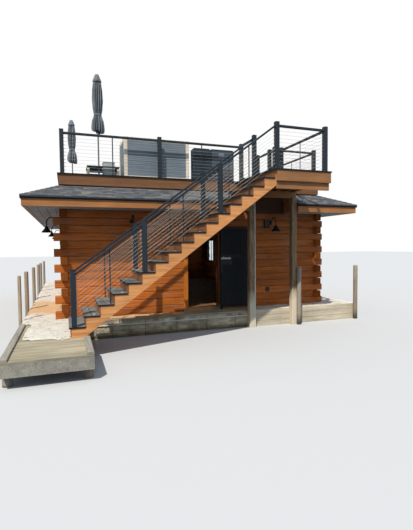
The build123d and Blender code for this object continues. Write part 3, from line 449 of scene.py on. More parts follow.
LOG = {"rough": 0.5, "bump": 0.35, "tone": (0.74, 1.14), "knots": 0.75, "spec": 0.2, "dust": "9a765f",
       "painted_eave_shade": 0.68}
DOCK_WOOD = {"rough": 0.85, "bump": 0.5}
MATS = {
    "logs_x": wood("log_wood", "ba6624", "x", 0.58, 1.24, **LOG),
    "logs_y": wood("log_wood_side", "ba6624", "y", 0.58, 1.24, **LOG),
    "trim": wood("trim_wood", "af7342", "x", 0.8, 1.14, 0.55, tone=(0.9, 1.1), knots=0.3),
    "rim": wood("rim_wood", "7f5739", "x", 0.8, 1.14, 0.7, tone=(0.88, 1.08)),
    "rim_landing": wood("landing_wood", "9c6c45", "x", 0.8, 1.14, 0.65, tone=(0.9, 1.08)),
    "riser": wood("riser_wood", "956442", "y", 0.75, 1.15, 0.65, tone=(0.82, 1.1), knots=0.4),
    "stringer": wood("stringer_wood", "d8945a", "x", 0.76, 1.14, tone=(0.9, 1.06), knots=0.6, dust="dda872"),
    "band": wood("band_wood", "4a3020", "x", 0.75, 1.15, 0.75),
    "floor": wood("floor_wood", "8a6b4b", "y", 0.75, 1.15, 0.7),
    "composite": wood("deck_composite", "5d6468", "x", 0.82, 1.14, 0.75, 0.2, (0.86, 1.1), spec=0.2),
    "composite_y": wood("tread_composite", "6a6a67", "y", 0.72, 1.3, 0.75, 0.35, (0.84, 1.14), spec=0.2),
    "edge": wood("edge_composite", "171c21", "y", 0.85, 1.1, 0.7, tone=(0.9, 1.1), spec=0.2),
    "dock": wood("dock_wood", "a0967f", "x", 0.7, 1.16, tone=(0.82, 1.12), knots=0.5, grey="82807a",
                 grey_from=0.56, **DOCK_WOOD),
    "dock_pale_sunlit": wood("pale_dust_and_sunlight_wood", "f6efe2", "x", 0.84, 1.08, tone=(0.86, 1.06), knots=0.5,
                      grey="c9c3b6", grey_from=0.62, **DOCK_WOOD),
    "curb": wood("curb_wood", "a09a8e", "y", 0.7, 1.18, tone=(0.85, 1.1), grey="8c8a82", grey_from=0.56,
                 **DOCK_WOOD),
    "cream": wood("cream_wood", "d8c9ae", "x", 0.76, 1.12, 0.75, tone=(0.92, 1.05), knots=0.4,
                  grey="a59a86", grey_from=0.6),
    "cabinet": wood("cabinet_wood", "e9dcc4", "z", 0.88, 1.08, 0.65, tone=(0.93, 1.05), knots=0.3),
    "pile": wood("pile_wood", "a8957d", "z", 0.62, 1.2, 0.85, 0.7, (0.86, 1.1), 0.6, grey="95928a",
                 grey_from=0.42),
    "slate": painted("slate_paint", "212a32", spec=0.22),
    "steel": painted("cable_steel", "aca79f", 0.4, 0.05, 0.4, metal=0.35),
    "black": painted("black_paint", "0d1012", vary=0.2, spec=0.2),
    "drip": painted("drip_paint", "0a0c0e", 0.8, 0.2, 0.1),
    "zinc": painted("zinc_steel", "77777a", vary=0.12, metal=0.35, worn="5b5650"),
    "alu": painted("pole_alloy", "59626a", 0.4, 0.06, metal=0.3),
    "window": painted("window_paint", "1b2126", vary=0.15),
    "enamel": painted("shade_enamel", "3a3b3a", vary=0.08),
    "lens": painted("lens_white", "d8d4c8", 0.3, 0.05),
    "plastic_black": painted("box_plastic", "191b1d", vary=0.15),
    "plastic_grey": painted("conduit_plastic", "dcdad4", 0.6, 0.06, 0.2),
    "unit": painted("unit_metal", "29353f", 0.55, 0.12, 0.3),
    "unit_pale": painted("unit_panel", "434f5a", spec=0.3),
    "slat": painted("slat_paint", "707b85", 0.6, spec=0.3),
    "slat_dark": painted("backing_paint", "545d66", 0.7, spec=0.2),
    "table": painted("bench_paint", "3a444c", 0.6, 0.12, 0.3),
    "block": painted("side_table_paint", "a9adad", 0.6, spec=0.3, worn="8b8c88"),
    "concrete": concrete(),
    "sand": sand(),
    "end": end_grain(),
    "post": post_wood(),
    "jamb": jamb_wood(),
    "shingle": shingle(),
    "soffit": soffit(),
    "door": door(),
    "cloth": cloth(),
    "glass": glass(),
}

# Materials of the CAD nodes that stay in sight; the pieces below replace the others
NODE_MATS = {
    "dock_crib": "concrete", "dock_face_boards": "cream", "walkway_timbers": "curb", "floor": "floor",
    "door_frame": "jamb", "door_leaf": "door", "door_hasp": "zinc", "door_track": "black",
    "door_hangers": "black", "door_guide": "black", "window_frames": "window", "window_glass": "glass",
    "deck_band": "band", "soffit": "soffit", "fascia": "trim", "drip_edge": "drip",
    "skirt_roof": "shingle", "deck_frame": "rim", "landing_frame": "rim_landing",
    "landing_beams": "rim_landing", "landing_posts": "post", "stair_risers": "riser",
    "stair_stringers": "stringer", "wall_boxes": "plastic_black", "parasol_poles": "alu",
}
for node_name, node_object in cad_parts.items():
    node_object.data.materials.clear()
    node_object.data.materials.append(MATS[NODE_MATS.get(node_name, "logs_x")])


# Geometry helpers
def ring_faces(rings, sides):
    """Quads that join each ring of points to the next."""
    faces = []
    for low in range(0, (rings - 1) * sides, sides):
        for step in range(sides):
            after = (step + 1) % sides
            faces.append((low + step, low + after, low + sides + after, low + sides + step))
    return faces


def end_faces(rings, sides):
    """The faces that close the first and the last ring."""
    return [tuple(reversed(range(sides))), tuple(range((rings - 1) * sides, rings * sides))]


def circle(centre, radius, sides, u, v, turn=0.0):
    """Points round a centre, in the plane of the unit vectors u and v."""
    angles = [2 * math.pi * (step + turn) / sides for step in range(sides)]
    return [tuple(centre + (u * math.cos(a) + v * math.sin(a)) * radius) for a in angles]


# A box with its edges cut off: corner c has the points 3c on its X face, 3c + 1 on its Y face and
# 3c + 2 on its Z face
BOX_FACES = [(2, 11, 8, 5), (14, 17, 20, 23), (1, 4, 16, 13), (10, 22, 19, 7), (0, 12, 21, 9),
             (3, 6, 18, 15)]
BOX_FACES += [(3 * c, 3 * c + 1, 3 * c + 13, 3 * c + 12) for c in range(4)]
BOX_FACES += [(3 * c, 3 * c + 1, 3 * c + 2) for c in range(8)]
for one, other in ((1, 4), (10, 7), (0, 9), (3, 6)):
    for up in (0, 12):
        z_one = one // 3 * 3 + 2
        z_other = other // 3 * 3 + 2
        BOX_FACES.append((one + up, z_one + up, z_other + up, other + up))


class Build:
    """Collects shapes into one mesh, with a tone value for each shape."""

    def __init__(self):
        self.verts = []
        self.faces = []
        self.tones = []
        self.slots = []
        self.smooth = []

    def add(self, verts, faces, tone=None, slot=0, smooth=False):
        base = len(self.verts)
        count = len(faces)
        self.verts += verts
        self.faces += [[base + index for index in face] for face in faces]
        self.tones += [random.random() if tone is None else tone] * count
        self.slots += slot if isinstance(slot, list) else [slot] * count
        self.smooth += [smooth] * count

    def box(self, low, high, edge, slot=0):
        verts = []
        for up in (0, 1):
            for right, back in ((0, 0), (1, 0), (1, 1), (0, 1)):
                far = (right, back, up)
                outer = [(low, high)[far[k]][k] for k in range(3)]
                inner = [outer[k] + (-edge if far[k] else edge) for k in range(3)]
                for face in range(3):
                    verts.append([outer[k] if k == face else inner[k] for k in range(3)])
        self.add(verts, BOX_FACES, None, slot)

    def prism(self, outline, start, end, axis, tone=None, slot=0, end_slot=None, lift=0.0):
        """An outline made solid along x or y, its end raised by lift."""
        verts = []
        for along, up in ((start, 0.0), (end, lift)):
            for a, b in outline:
                verts.append((along, a, b + up) if axis == "x" else (a, along, b + up))
        count = len(outline)
        slots = [slot] * count + [slot if end_slot is None else end_slot] * 2
        self.add(verts, ring_faces(2, count) + end_faces(2, count), tone, slots)

    def tube(self, path, radius, sides, tone=None, slot=0, caps=True):
        """A round tube along a line of points; radius is one value or one for each point."""
        points = [Vector(p) for p in path]
        radii = radius if isinstance(radius, list) else [radius] * len(points)
        verts = []
        normal = None
        for index, point in enumerate(points):
            tangent = (points[min(index + 1, len(points) - 1)] - points[max(index - 1, 0)]).normalized()
            if normal is None:
                normal = tangent.orthogonal()
            normal = (normal - tangent * normal.dot(tangent)).normalized()
            verts += circle(point, radii[index], sides, normal, tangent.cross(normal), 0.5)
        tone = random.random() if tone is None else tone
        self.add(verts, ring_faces(len(points), sides), tone, slot, True)
        if caps:
            for ring, face in zip((verts[:sides], verts[-sides:]), end_faces(1, sides)):
                self.add(ring, [face], tone, slot)

    def turned(self, x, y, rows, sides, shape, tone=None, slot=0, closed=False):
        """A surface round an upright line; shape gives the radius and the height of a row at an angle."""
        verts = []
        for row in rows:
            for step in range(sides):
                angle = 2 * math.pi * step / sides
                radius, z = shape(row, angle)
                verts.append((x + radius * math.cos(angle), y + radius * math.sin(angle), z))
        faces = ring_faces(len(rows), sides) + (end_faces(len(rows), sides) if closed else [])
        self.add(verts, faces, tone, slot, True)

    def lathe(self, profile, centre, sides, tone=None, slot=0):
        """A profile of (radius, height) turned round an upright line."""
        x, y, z = centre
        self.turned(x, y, profile, sides, lambda row, angle: (row[0], z + row[1]), tone, slot)

    def mesh(self, name):
        mesh = bpy.data.meshes.new(name)
        mesh.from_pydata(self.verts, [], self.faces)
        mesh.attributes.new("tone", "FLOAT", "FACE").data.foreach_set("value", self.tones)
        mesh.polygons.foreach_set("material_index", self.slots)
        mesh.polygons.foreach_set("use_smooth", self.smooth)
        mesh.update()
        work = bmesh.new()
        work.from_mesh(mesh)
        bmesh.ops.recalc_face_normals(work, faces=work.faces)
        work.to_mesh(mesh)
        work.free()
        return mesh


def link_object(name, data):
    obj = bpy.data.objects.new(name, data)
    bpy.context.collection.objects.link(obj)
    return obj


def place_piece(name, build, materials, replaces=(), body="house"):
    """Turns a Build into an object that rides on a body and stands for CAD nodes."""
    obj = link_object(name, build.mesh(name))
    for material in materials:
        obj.data.materials.append(MATS[material])
    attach(obj, body)
    if replaces:
        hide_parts(*replaces)
    return obj


# Log walls, each log squared with rounded edges
LOG_EAR = 0.140
LOG_JOINT = 0.0006
LONGEST_LOG = 4.2
LOG_EDGE = [(0, 0.017), (0.004, 0.008), (0.016, 0.0), (LOG_T - 0.006, 0.0), (LOG_T, 0.007)]
LOG_OUTLINE = LOG_EDGE + [(across, LOG_H - up) for across, up in reversed(LOG_EDGE)]


def lay_log(build, axis, face, inward, reach, course, gaps):
    """One course from -reach to reach, cut at the gaps and where it is long; inward is +1 or -1."""
    level = DOCK + course * LOG_H
    outline = [(face + inward * across, level + up) for across, up in LOG_OUTLINE]
    ends = [-reach, *[end for gap in gaps for end in gap], reach]
    for low, high in zip(ends[::2], ends[1::2]):
        cuts = [low, high]
        if high - low > LONGEST_LOG:
            cuts.insert(1, low + (high - low) * random.uniform(0.3, 0.7))
        for a, b in zip(cuts, cuts[1:]):
            build.prism(outline, a + LOG_JOINT, b - LOG_JOINT, axis, end_slot=1)


def window_gaps(course, centres):
    if not SILL_COURSES <= course < DOOR_COURSES:
        return []
    return [(centre - WINDOW_W / 2, centre + WINDOW_W / 2) for centre in centres]


front_logs = Build()
back_logs = Build()
side_logs = Build()
for course in range(COURSES):
    even = course % 2 == 0
    reach_x = WALL_X + (LOG_EAR if even else -LOG_T)
    reach_y = WALL_Y + (-LOG_T if even else LOG_EAR)
    lay_log(front_logs, "x", -WALL_Y, 1, reach_x, course, [DOOR_ROUGH] if course < DOOR_COURSES else [])
    lay_log(back_logs, "x", WALL_Y, -1, reach_x, course, window_gaps(course, BACK_WINDOWS))
    for way in (-1, 1):
        lay_log(side_logs, "y", way * WALL_X, -way, reach_y, course, window_gaps(course, SIDE_WINDOWS))
place_piece("front_logs", front_logs, ["logs_x", "end"],
            ("front_wall_left", "front_wall_right", "front_wall_header"))
place_piece("back_logs", back_logs, ["logs_x", "end"], ("back_wall",))
place_piece("side_logs", side_logs, ["logs_y", "end"], ("left_wall", "right_wall"))

# Shingles on the skirt roof: rows of tabs, and caps along the hips
ROWS = 12
FIRST_TAB = 0.30
TAB_WIDTHS = (0.10, 0.14, 0.18, 0.24)
TAB_GAP = 0.004
NARROWEST_TAB = 0.01
TAB_FACES = [(1, 3, 7, 5), (0, 4, 6, 2), (0, 2, 3, 1), (4, 5, 7, 6), (0, 1, 5, 4), (2, 6, 7, 3)]
CAP_STEPS = 8
CAP_W = 0.11
CAP_FACES = [(0, 1, 7, 6), (1, 2, 8, 7), (0, 3, 4, 1), (1, 4, 5, 2), (0, 6, 9, 3), (2, 5, 11, 8),
             (6, 7, 10, 9), (7, 8, 11, 10)]
shingles = Build()


def lay_tab(axis, way, u0, u1, row):
    """One shingle tab, cut along the hips where it reaches them."""
    corners = []
    for share, lift, thick in ((row / ROWS, 0.002, 0.006), ((row + 1) / ROWS, 0.001, 0.001)):
        out = EAVE_OUT - share * (EAVE_OUT + SKIRT_IN)
        z = SKIRT_LOW + share * (SKIRT_HIGH - SKIRT_LOW) + lift
        hip = (WALL_X if axis == "x" else WALL_Y) + out
        a = max(u0, -hip)
        b = min(u1, hip)
        if b - a < NARROWEST_TAB:
            return
        for u in (a, b):
            x, y = (u, way * (WALL_Y + out)) if axis == "x" else (way * (WALL_X + out), u)
            corners += [(x, y, z), (x, y, z + thick)]
    shingles.add(corners, TAB_FACES)


for axis, way in (("x", -1), ("x", 1), ("y", -1), ("y", 1)):
    reach = (WALL_X if axis == "x" else WALL_Y) + EAVE_OUT
    for row in range(ROWS):
        place = -reach - random.uniform(0, FIRST_TAB)
        while place < reach:
            start = place
            place += random.choice(TAB_WIDTHS)
            stop = place - TAB_GAP
            if (axis, way) == ("x", -1):
                lay_tab(axis, way, start, min(stop, NOTCH[0]), row)
                start = max(start, NOTCH[1])
            lay_tab(axis, way, start, stop, row)
for way_x in (-1, 1):
    for way_y in (-1, 1):
        low = Vector((way_x * (WALL_X + EAVE_OUT), way_y * (WALL_Y + EAVE_OUT), SKIRT_LOW))
        high = Vector((way_x * (WALL_X - SKIRT_IN), way_y * (WALL_Y - SKIRT_IN), SKIRT_HIGH))
        for step in range(CAP_STEPS):
            verts = []
            for number, up, wide in ((step, 0.020, CAP_W if step else 0.02), (step + 1, 0.012, CAP_W)):
                x, y, z = low.lerp(high, number / CAP_STEPS)
                in_x = x - way_x * wide
                in_y = y - way_y * wide
                verts += [(in_x, y, z + up - 0.004), (x, y, z + up), (x, in_y, z + up - 0.004)]
                verts += [(in_x, y, z), (x, y, z), (x, in_y, z)]
            shingles.add(verts, CAP_FACES)
place_piece("skirt_shingles", shingles, ["shingle"])

# Boards
BOARD_W = 0.14
LONGEST_BOARD = 5.0
BUTT = 0.0015
STRIP_T = 0.008


def lay_boards(build, low, high, width=BOARD_W, gap=0.005, ragged=0.0, slot=0):
    """Boards along x side by side, butt-jointed in turn where they are long."""
    count = max(1, round((high[1] - low[1]) / width))
    pitch = (high[1] - low[1] + gap) / count
    span = high[0] - low[0]
    for row in range(count):
        y = low[1] + row * pitch
        cuts = [low[0], high[0]]
        if span > LONGEST_BOARD:
            cuts.insert(1, low[0] + span * (0.38 if row % 2 else 0.62))
        for start, stop in zip(cuts, cuts[1:]):
            x0 = start + random.uniform(0, ragged) + (BUTT if start != low[0] else 0)
            x1 = stop - random.uniform(0, ragged) - (BUTT if stop != high[0] else 0)
            top = high[2] - random.uniform(0, 0.002)
            build.box((x0, y, low[2]), (x1, y + pitch - gap, top), BOARD_EDGE, slot)


def place_deck(name, node, back_strip):
    """Composite boards with a dark edge strip round them; the landing's back meets the house."""
    low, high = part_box(node)
    x0, x1 = low.x + STRIP_T, high.x - STRIP_T
    y0, y1 = low.y + STRIP_T, high.y - (STRIP_T if back_strip else 0.0)
    build = Build()
    lay_boards(build, (x0, y0, low.z), (x1, y1, high.z))
    strips = [(low.x, low.y, high.x, y0)]
    if back_strip:
        strips.append((low.x, y1, high.x, high.y))
    strips += [(low.x, y0, x0, y1), (x1, y0, high.x, y1)]
    for a, b, c, d in strips:
        build.box((a, b, low.z + 0.001), (c, d, high.z - 0.0005), THIN_EDGE, 1)
    place_piece(name, build, ["composite", "edge"], (node,))


place_deck("roof_deck_boards", "roof_deck", True)
place_deck("landing_deck_boards", "landing_boards", False)

# Dock boards round the house, pale from the door's right on (pale dust with painted sunlight), and the
# walkway's boards
PALE_X = 1.26
dock_low, dock_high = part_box("dock_boards")
crib_low, crib_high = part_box("dock_crib")
board_z = dock_high.z - 0.040
walk_x1 = dock_low.x + WALKWAY_W
in_x = WALL_X - LOG_T / 2
in_y = WALL_Y - LOG_T / 2
dock = Build()
# Slot 1 is the paler copy of the dock wood: pale dust with painted sunlight
for x0, x1, y0, y1, slot in (
        (crib_low.x, PALE_X, crib_low.y, -in_y, 0), (PALE_X, crib_high.x, crib_low.y, -in_y, 1),
        (crib_low.x, crib_high.x, in_y, crib_high.y, 1), (crib_low.x, -in_x, -in_y, in_y, 0),
        (in_x, crib_high.x, -in_y, in_y, 1)):
    lay_boards(dock, (x0, y0, board_z), (x1, y1, DOCK), gap=0.008, ragged=0.012, slot=slot)
walk_end = (walk_x1, crib_low.y - 0.002, DOCK)
lay_boards(dock, (dock_low.x, dock_low.y, board_z), walk_end, gap=0.009, ragged=0.008)
place_piece("dock_planks", dock, ["dock", "dock_pale_sunlit"], ("dock_boards",))

# Sand and sawdust lying on the dock
SAND_CELL = 0.055
SAND_Y = (-7.45, 6.18)
SAND_LEAST = 0.002
SAND_SLOPE_W = 0.16
SAND_DEPTH = 0.020


def sand_height(x, y):
    """Height of the sand over the boards, falling to nothing at a ragged edge."""
    wave = noise.noise(Vector((x * 1.9, y * 1.9, 3.1)))
    ripple = noise.noise(Vector((x * 7.0, y * 7.0, 8.4)))
    # How far inside three spread patches the point is: beside the house, by its front, right corner
    left = crib_low.x + (0.15 if y < crib_low.y else -0.02)
    right = -3.14 if y < -WALL_Y else -3.55
    slant = 0.6 * max(0.0, -3.9 - x)
    beside = min(x - left, right - x, y + 7.0 - slant + 0.35 * wave, 6.15 - y)
    by_wall = min(x + 3.3, -0.62 - x, y - crib_low.y - 0.06, -4.89 - y)
    corner = min(x - 1.32, crib_high.x - 0.02 - x, y - crib_low.y - 0.02, 5.9 - y)
    if y > -WALL_Y - 0.02:
        corner = min(corner, x - 3.56)
    body = min(1.0, max(0.0, max(beside, by_wall, corner) / SAND_SLOPE_W + 0.45 * wave))
    return body * (SAND_DEPTH + 0.012 * ripple + 0.010 * wave)


cells_x = int((crib_high.x - crib_low.x) / SAND_CELL)
cells_y = int((SAND_Y[1] - SAND_Y[0]) / SAND_CELL)
grid = {}
sand_verts = []
sand_faces = []
for i in range(cells_x + 1):
    for j in range(cells_y + 1):
        x = crib_low.x + 0.01 + i * SAND_CELL
        y = SAND_Y[0] + j * SAND_CELL
        height = sand_height(x, y)
        if height > SAND_LEAST:
            grid[(i, j)] = len(sand_verts)
            sand_verts.append((x, y, DOCK + height))
for i in range(cells_x):
    for j in range(cells_y):
        corners = [(i, j), (i + 1, j), (i + 1, j + 1), (i, j + 1)]
        known = [grid[corner] for corner in corners if corner in grid]
        if len(known) >= 3:
            sand_faces.append(known)
spread = Build()
spread.add(sand_verts, sand_faces, 0.5, 0, True)
place_piece("spread_sand", spread, ["sand"])

# Mooring piles along the left side and the front, and short piles under the walkway
LEFT_PILES = (-4.695, -2.985, -0.475, 1.825, 3.365, 5.965)
LEFT_TOP = DOCK + 1.050
FRONT_TOP = DOCK + 1.105
SHORT_TOP = 0.190
LEFT_R = 0.055
FIRST_R = 0.040
FRONT_R = 0.062
SHORT_R = 0.078
SHORT_IN = 0.08
PILE_SIDES = 18
piles = Build()


def pile(x, y, top, radius):
    """A weathered round pile from the water up: slightly uneven, worn round its top."""
    seed = Vector((x * 3.1, y * 1.7, 0.0))

    def shape(row, angle):
        level, share = row
        wobble = noise.noise(seed + Vector((math.cos(angle) * 1.3, math.sin(angle) * 1.3, level * 0.9)))
        return radius * share * (1 - 0.05 * abs(wobble)), level

    rows = ((0.0, 1.0), (0.2 * top, 0.99), (0.5 * top, 0.975), (0.8 * top, 0.97), (top - 0.03, 0.96),
            (top - 0.008, 0.88), (top, 0.70))
    piles.turned(x, y, rows, PILE_SIDES, shape, closed=True)


for py in LEFT_PILES:
    pile(crib_low.x - LEFT_R, py, LEFT_TOP, FIRST_R if py == LEFT_PILES[0] else LEFT_R)
pile(2.435, -5.597, FRONT_TOP, FRONT_R)
pile(4.385, crib_low.y - 0.1175, FRONT_TOP, FRONT_R)
for px in (dock_low.x + SHORT_IN, walk_x1 - SHORT_IN):
    for share in (0.06, 0.55):
        pile(px, dock_low.y + share * WALKWAY_L + SHORT_IN, SHORT_TOP, SHORT_R)
place_piece("round_piles", piles, ["pile"], ("piles",))


# Stair treads of two ribbed boards each, with dark edges, and lights in every second tread
def nosing(number):
    return NOSING_X + (number - 1) * RUN


def tread_top(number):
    return DOCK + number * RISE


HALF_GAP = 0.0025
RIBS = 4
HALF_RIB = 0.004
TRIM_T = 0.006
tread_y0, tread_y1 = TREAD_Y
depth = RUN + TREAD_OVER
treads = Build()
for number in range(1, RISERS):
    x = nosing(number)
    top = tread_top(number)
    bottom = top - TREAD_T
    middle = x + depth / 2
    for a, b in ((x, middle - HALF_GAP), (middle + HALF_GAP, x + depth)):
        treads.box((a, tread_y0 + 0.004, bottom), (b, tread_y1 - 0.004, top), BAR_EDGE)
        for rib in range(1, RIBS + 1):
            rib_x = a + (b - a) * rib / (RIBS + 1)
            treads.box((rib_x - HALF_RIB, tread_y0 + 0.012, top - 0.001),
                       (rib_x + HALF_RIB, tread_y1 - 0.012, top + 0.0012), FINE_EDGE)
    for x0, x1, y0, y1, down in (
            (x + 0.001, x + depth - 0.001, tread_y0, tread_y0 + TRIM_T, 0.001),
            (x + 0.001, x + depth - 0.001, tread_y1 - TRIM_T, tread_y1, 0.001),
            (x - 0.0005, x + 0.003, tread_y0 + 0.002, tread_y1 - 0.002, 0.003)):
        treads.box((x0, y0, bottom + 0.001), (x1, y1, top - down), FINE_EDGE, 1)
place_piece("tread_boards", treads, ["composite_y", "edge"], ("stair_treads",))

LIGHT_RING = [(0.0005, 0.0), (0.041, 0.0), (0.041, 0.007), (0.036, 0.011), (0.030, 0.011)]
LIGHT_LENS = [(0.030, 0.0105), (0.024, 0.0122), (0.012, 0.0130), (0.0005, 0.0132)]
lights = Build()
for number in range(2, RISERS, 2):
    centre = (nosing(number) + 0.198, tread_y0 + 0.116, tread_top(number))
    lights.lathe(LIGHT_RING, centre, 20, slot=1)
    lights.lathe(LIGHT_LENS, centre, 20)
place_piece("step_lamps", lights, ["lens", "zinc"], ("step_lights",))

# Railings
HALF = POST_W / 2
STAIR_POST_IN = 0.060
STAIR_POST_X = 0.100
RAIL_MID = 0.935
STAIR_RAIL_MID = 0.885
PICKET_FOOT = 0.01
FITTING_L = 0.035
BOLT_HEAD = [(0.0065, 0.009), (0.0065, 0.014), (0.0005, 0.015)]
RAIL_QUARTER = [(RAIL_W / 2, RAIL_H / 2 - 0.007), (RAIL_W / 2 - 0.007, RAIL_H / 2)]
RAIL_OUTLINE = [(-a, -b) for a, b in RAIL_QUARTER] + [(a, -b) for a, b in reversed(RAIL_QUARTER)]
RAIL_OUTLINE += RAIL_QUARTER + [(-a, b) for a, b in reversed(RAIL_QUARTER)]


def post(build, x, y, base):
    """A post with its cap, and a foot plate held by four bolts."""
    for out, low, high, edge in ((0.0, 0.008, POST_H, BAR_EDGE), (0.002, POST_H, POST_H + CAP_H, BAR_EDGE),
                                 (0.017, 0.0, 0.009, THIN_EDGE)):
        r = HALF + out
        build.box((x - r, y - r, base + low), (x + r, y + r, base + high), edge)
    r = HALF + 0.008
    for bolt_x in (x - r, x + r):
        for bolt_y in (y - r, y + r):
            build.lathe(BOLT_HEAD, (bolt_x, bolt_y, base), 6, slot=1)


def rail_bay(build, along, across, post_a, post_b, base, climb=0.0, picket=None, mid=RAIL_MID):
    """Top rail, cables with their fittings and a picket, between two posts; it rises by climb."""
    s0 = post_a + HALF
    s1 = post_b - HALF
    outline = [(across + side, base + mid + up) for side, up in RAIL_OUTLINE]
    build.prism(outline, s0, s1, along, 0.5, lift=climb)

    def point(s, up):
        z = base + up + climb * (s - s0) / (s1 - s0)
        return (s, across, z) if along == "x" else (across, s, z)

    for index in range(1, CABLES + 1):
        up = (mid - RAIL_H / 2) * index / (CABLES + 1)
        build.tube([point(s0, up), point(s1, up)], CABLE_R, 5, slot=1, caps=False)
        for end, inner in ((s0, s0 + FITTING_L), (s1, s1 - FITTING_L)):
            build.tube([point(end, up), point(inner, up)], [0.0060, 0.0045], 6, slot=1)
    if picket is not None:
        s = (s0 + s1) / 2
        foot = base + climb / 2 + picket
        top = base + climb / 2 + mid - 0.01
        x0, x1, y0, y1 = s - 0.013, s + 0.013, across + 0.003, across + 0.013
        if along == "y":
            x0, x1, y0, y1 = y0, y1, x0, x1
        build.box((x0, y0, foot), (x1, y1, top), THIN_EDGE)


left_x, right_x = -WALL_X + RAIL_IN, WALL_X - RAIL_IN
front_y, rear_y = -WALL_Y + RAIL_IN, WALL_Y - RAIL_IN
MID_X = -1.125
GATE = (1.135, 2.375)
SIDE_BAYS = 4
REAR_BAYS = 3
deck_rails = Build()
for px in (left_x, MID_X, *GATE, right_x):
    post(deck_rails, px, front_y, DECK_Z)
for a, b, picket in ((left_x, MID_X, PICKET_FOOT), (MID_X, GATE[0], PICKET_FOOT), (GATE[1], right_x, None)):
    rail_bay(deck_rails, "x", front_y, a, b, DECK_Z, picket=picket)
bay_y = (rear_y - front_y) / SIDE_BAYS
for px in (left_x, right_x):
    for index in range(SIDE_BAYS):
        y = front_y + bay_y * index
        rail_bay(deck_rails, "y", px, y, y + bay_y, DECK_Z, picket=PICKET_FOOT)
        post(deck_rails, px, y + bay_y, DECK_Z)
bay_x = (right_x - left_x) / REAR_BAYS
for index in range(REAR_BAYS):
    x = left_x + bay_x * index
    rail_bay(deck_rails, "x", rear_y, x, x + bay_x, DECK_Z, picket=PICKET_FOOT)
    if index < REAR_BAYS - 1:
        post(deck_rails, x + bay_x, rear_y, DECK_Z)
place_piece("deck_rail_set", deck_rails, ["slate", "steel"], ("deck_railings",))

# The landing's side bays end at the house, as if a post had its middle at HOUSE_STOP
HOUSE_STOP = -WALL_Y + 0.022
FAR_POST_X = 2.267
RETURN_X = 2.165
RETURN_Y = (-4.775, -4.485, -3.745)
outer_y, inner_y = tread_y0 + STAIR_POST_IN, tread_y1 - STAIR_POST_IN
top_post_x = nosing(RISERS) + STAIR_POST_X
land_rails = Build()
for px, py in ((top_post_x, outer_y), (FAR_POST_X, outer_y), (top_post_x, inner_y)):
    post(land_rails, px, py, LANDING_Z)
rail_bay(land_rails, "x", outer_y, top_post_x, FAR_POST_X, LANDING_Z)
rail_bay(land_rails, "y", FAR_POST_X, outer_y, HOUSE_STOP, LANDING_Z, picket=PICKET_FOOT)
rail_bay(land_rails, "y", top_post_x, inner_y, HOUSE_STOP, LANDING_Z)
for py in RETURN_Y:
    post(land_rails, RETURN_X, py, DECK_Z)
for y0, y1 in zip(RETURN_Y, RETURN_Y[1:]):
    rail_bay(land_rails, "y", RETURN_X, y0, y1, DECK_Z)
place_piece("landing_rail_set", land_rails, ["slate", "steel"], ("landing_railings",))

# Steps at which the stair's posts stand; the last bay ends at the landing's own post
POST_STEPS = (1, 6, 12, RISERS)
stair_rails = Build()
for py in (outer_y, inner_y):
    for number in POST_STEPS[:-1]:
        post(stair_rails, nosing(number) + STAIR_POST_X, py, tread_top(number))
    for a, b in zip(POST_STEPS, POST_STEPS[1:]):
        x0 = nosing(a) + STAIR_POST_X
        x1 = nosing(b) + STAIR_POST_X
        z0, z1 = [tread_top(1) + RISE / RUN * (x - NOSING_X) for x in (x0 + HALF, x1 - HALF)]
        tread = int(((x0 + x1) / 2 - NOSING_X) / RUN) + 1
        foot = tread_top(tread) - (z0 + z1) / 2 + 0.002
        rail_bay(stair_rails, "x", py, x0, x1, z0, z1 - z0, foot, STAIR_RAIL_MID)
place_piece("stair_rail_set", stair_rails, ["slate", "steel"], ("stair_railings",))

# Wall lamps on swan necks; the neck's points are shares of its reach and of its rise
UP = Vector((0, 0, 1))
NECK = ((0.05, 0.0), (0.2, 0.1), (0.34, 0.62), (0.55, 0.97), (0.8, 0.9), (0.96, 0.45), (1.0, 0.1),
        (1.0, -0.59))
PLATE = ((0.0, 0.050), (0.012, 0.050), (0.018, 0.044))
NECK_R = 0.0135
SOCKET_H = 0.034
LAMP_SIDES = 20
FRONT_LAMPS = (-1.875, 1.965)
SHADE_OUTSIDE = [(SHADE_R, 0.0), (SHADE_R, 0.010), (0.113, 0.026), (0.094, 0.048), (0.073, 0.074),
                 (0.055, 0.096), (0.044, 0.112), (0.041, 0.150), (0.032, 0.154), (0.0005, 0.154)]
SHADE_INSIDE = [(SHADE_R, 0.0), (0.1195, 0.001), (0.1195, 0.010), (0.110, 0.025), (0.091, 0.046),
                (0.070, 0.071), (0.050, 0.092), (0.0005, 0.108)]
BULB = [(0.0005, 0.018), (0.016, 0.022), (0.027, 0.036), (0.029, 0.052), (0.022, 0.072), (0.014, 0.088),
        (0.013, 0.106)]


def smooth_line(points, parts):
    """Points on a smooth curve through the given ones, without the last."""
    line = []
    for index in range(len(points) - 1):
        four = (points[max(index - 1, 0)], points[index], points[index + 1],
                points[min(index + 2, len(points) - 1)])
        for part in range(parts):
            t = part / parts
            line.append([0.5 * (2 * b + (c - a) * t + (2 * a - 5 * b + 4 * c - d) * t * t
                                + (3 * b - a - 3 * c + d) * t ** 3) for a, b, c, d in zip(*four)])
    return line


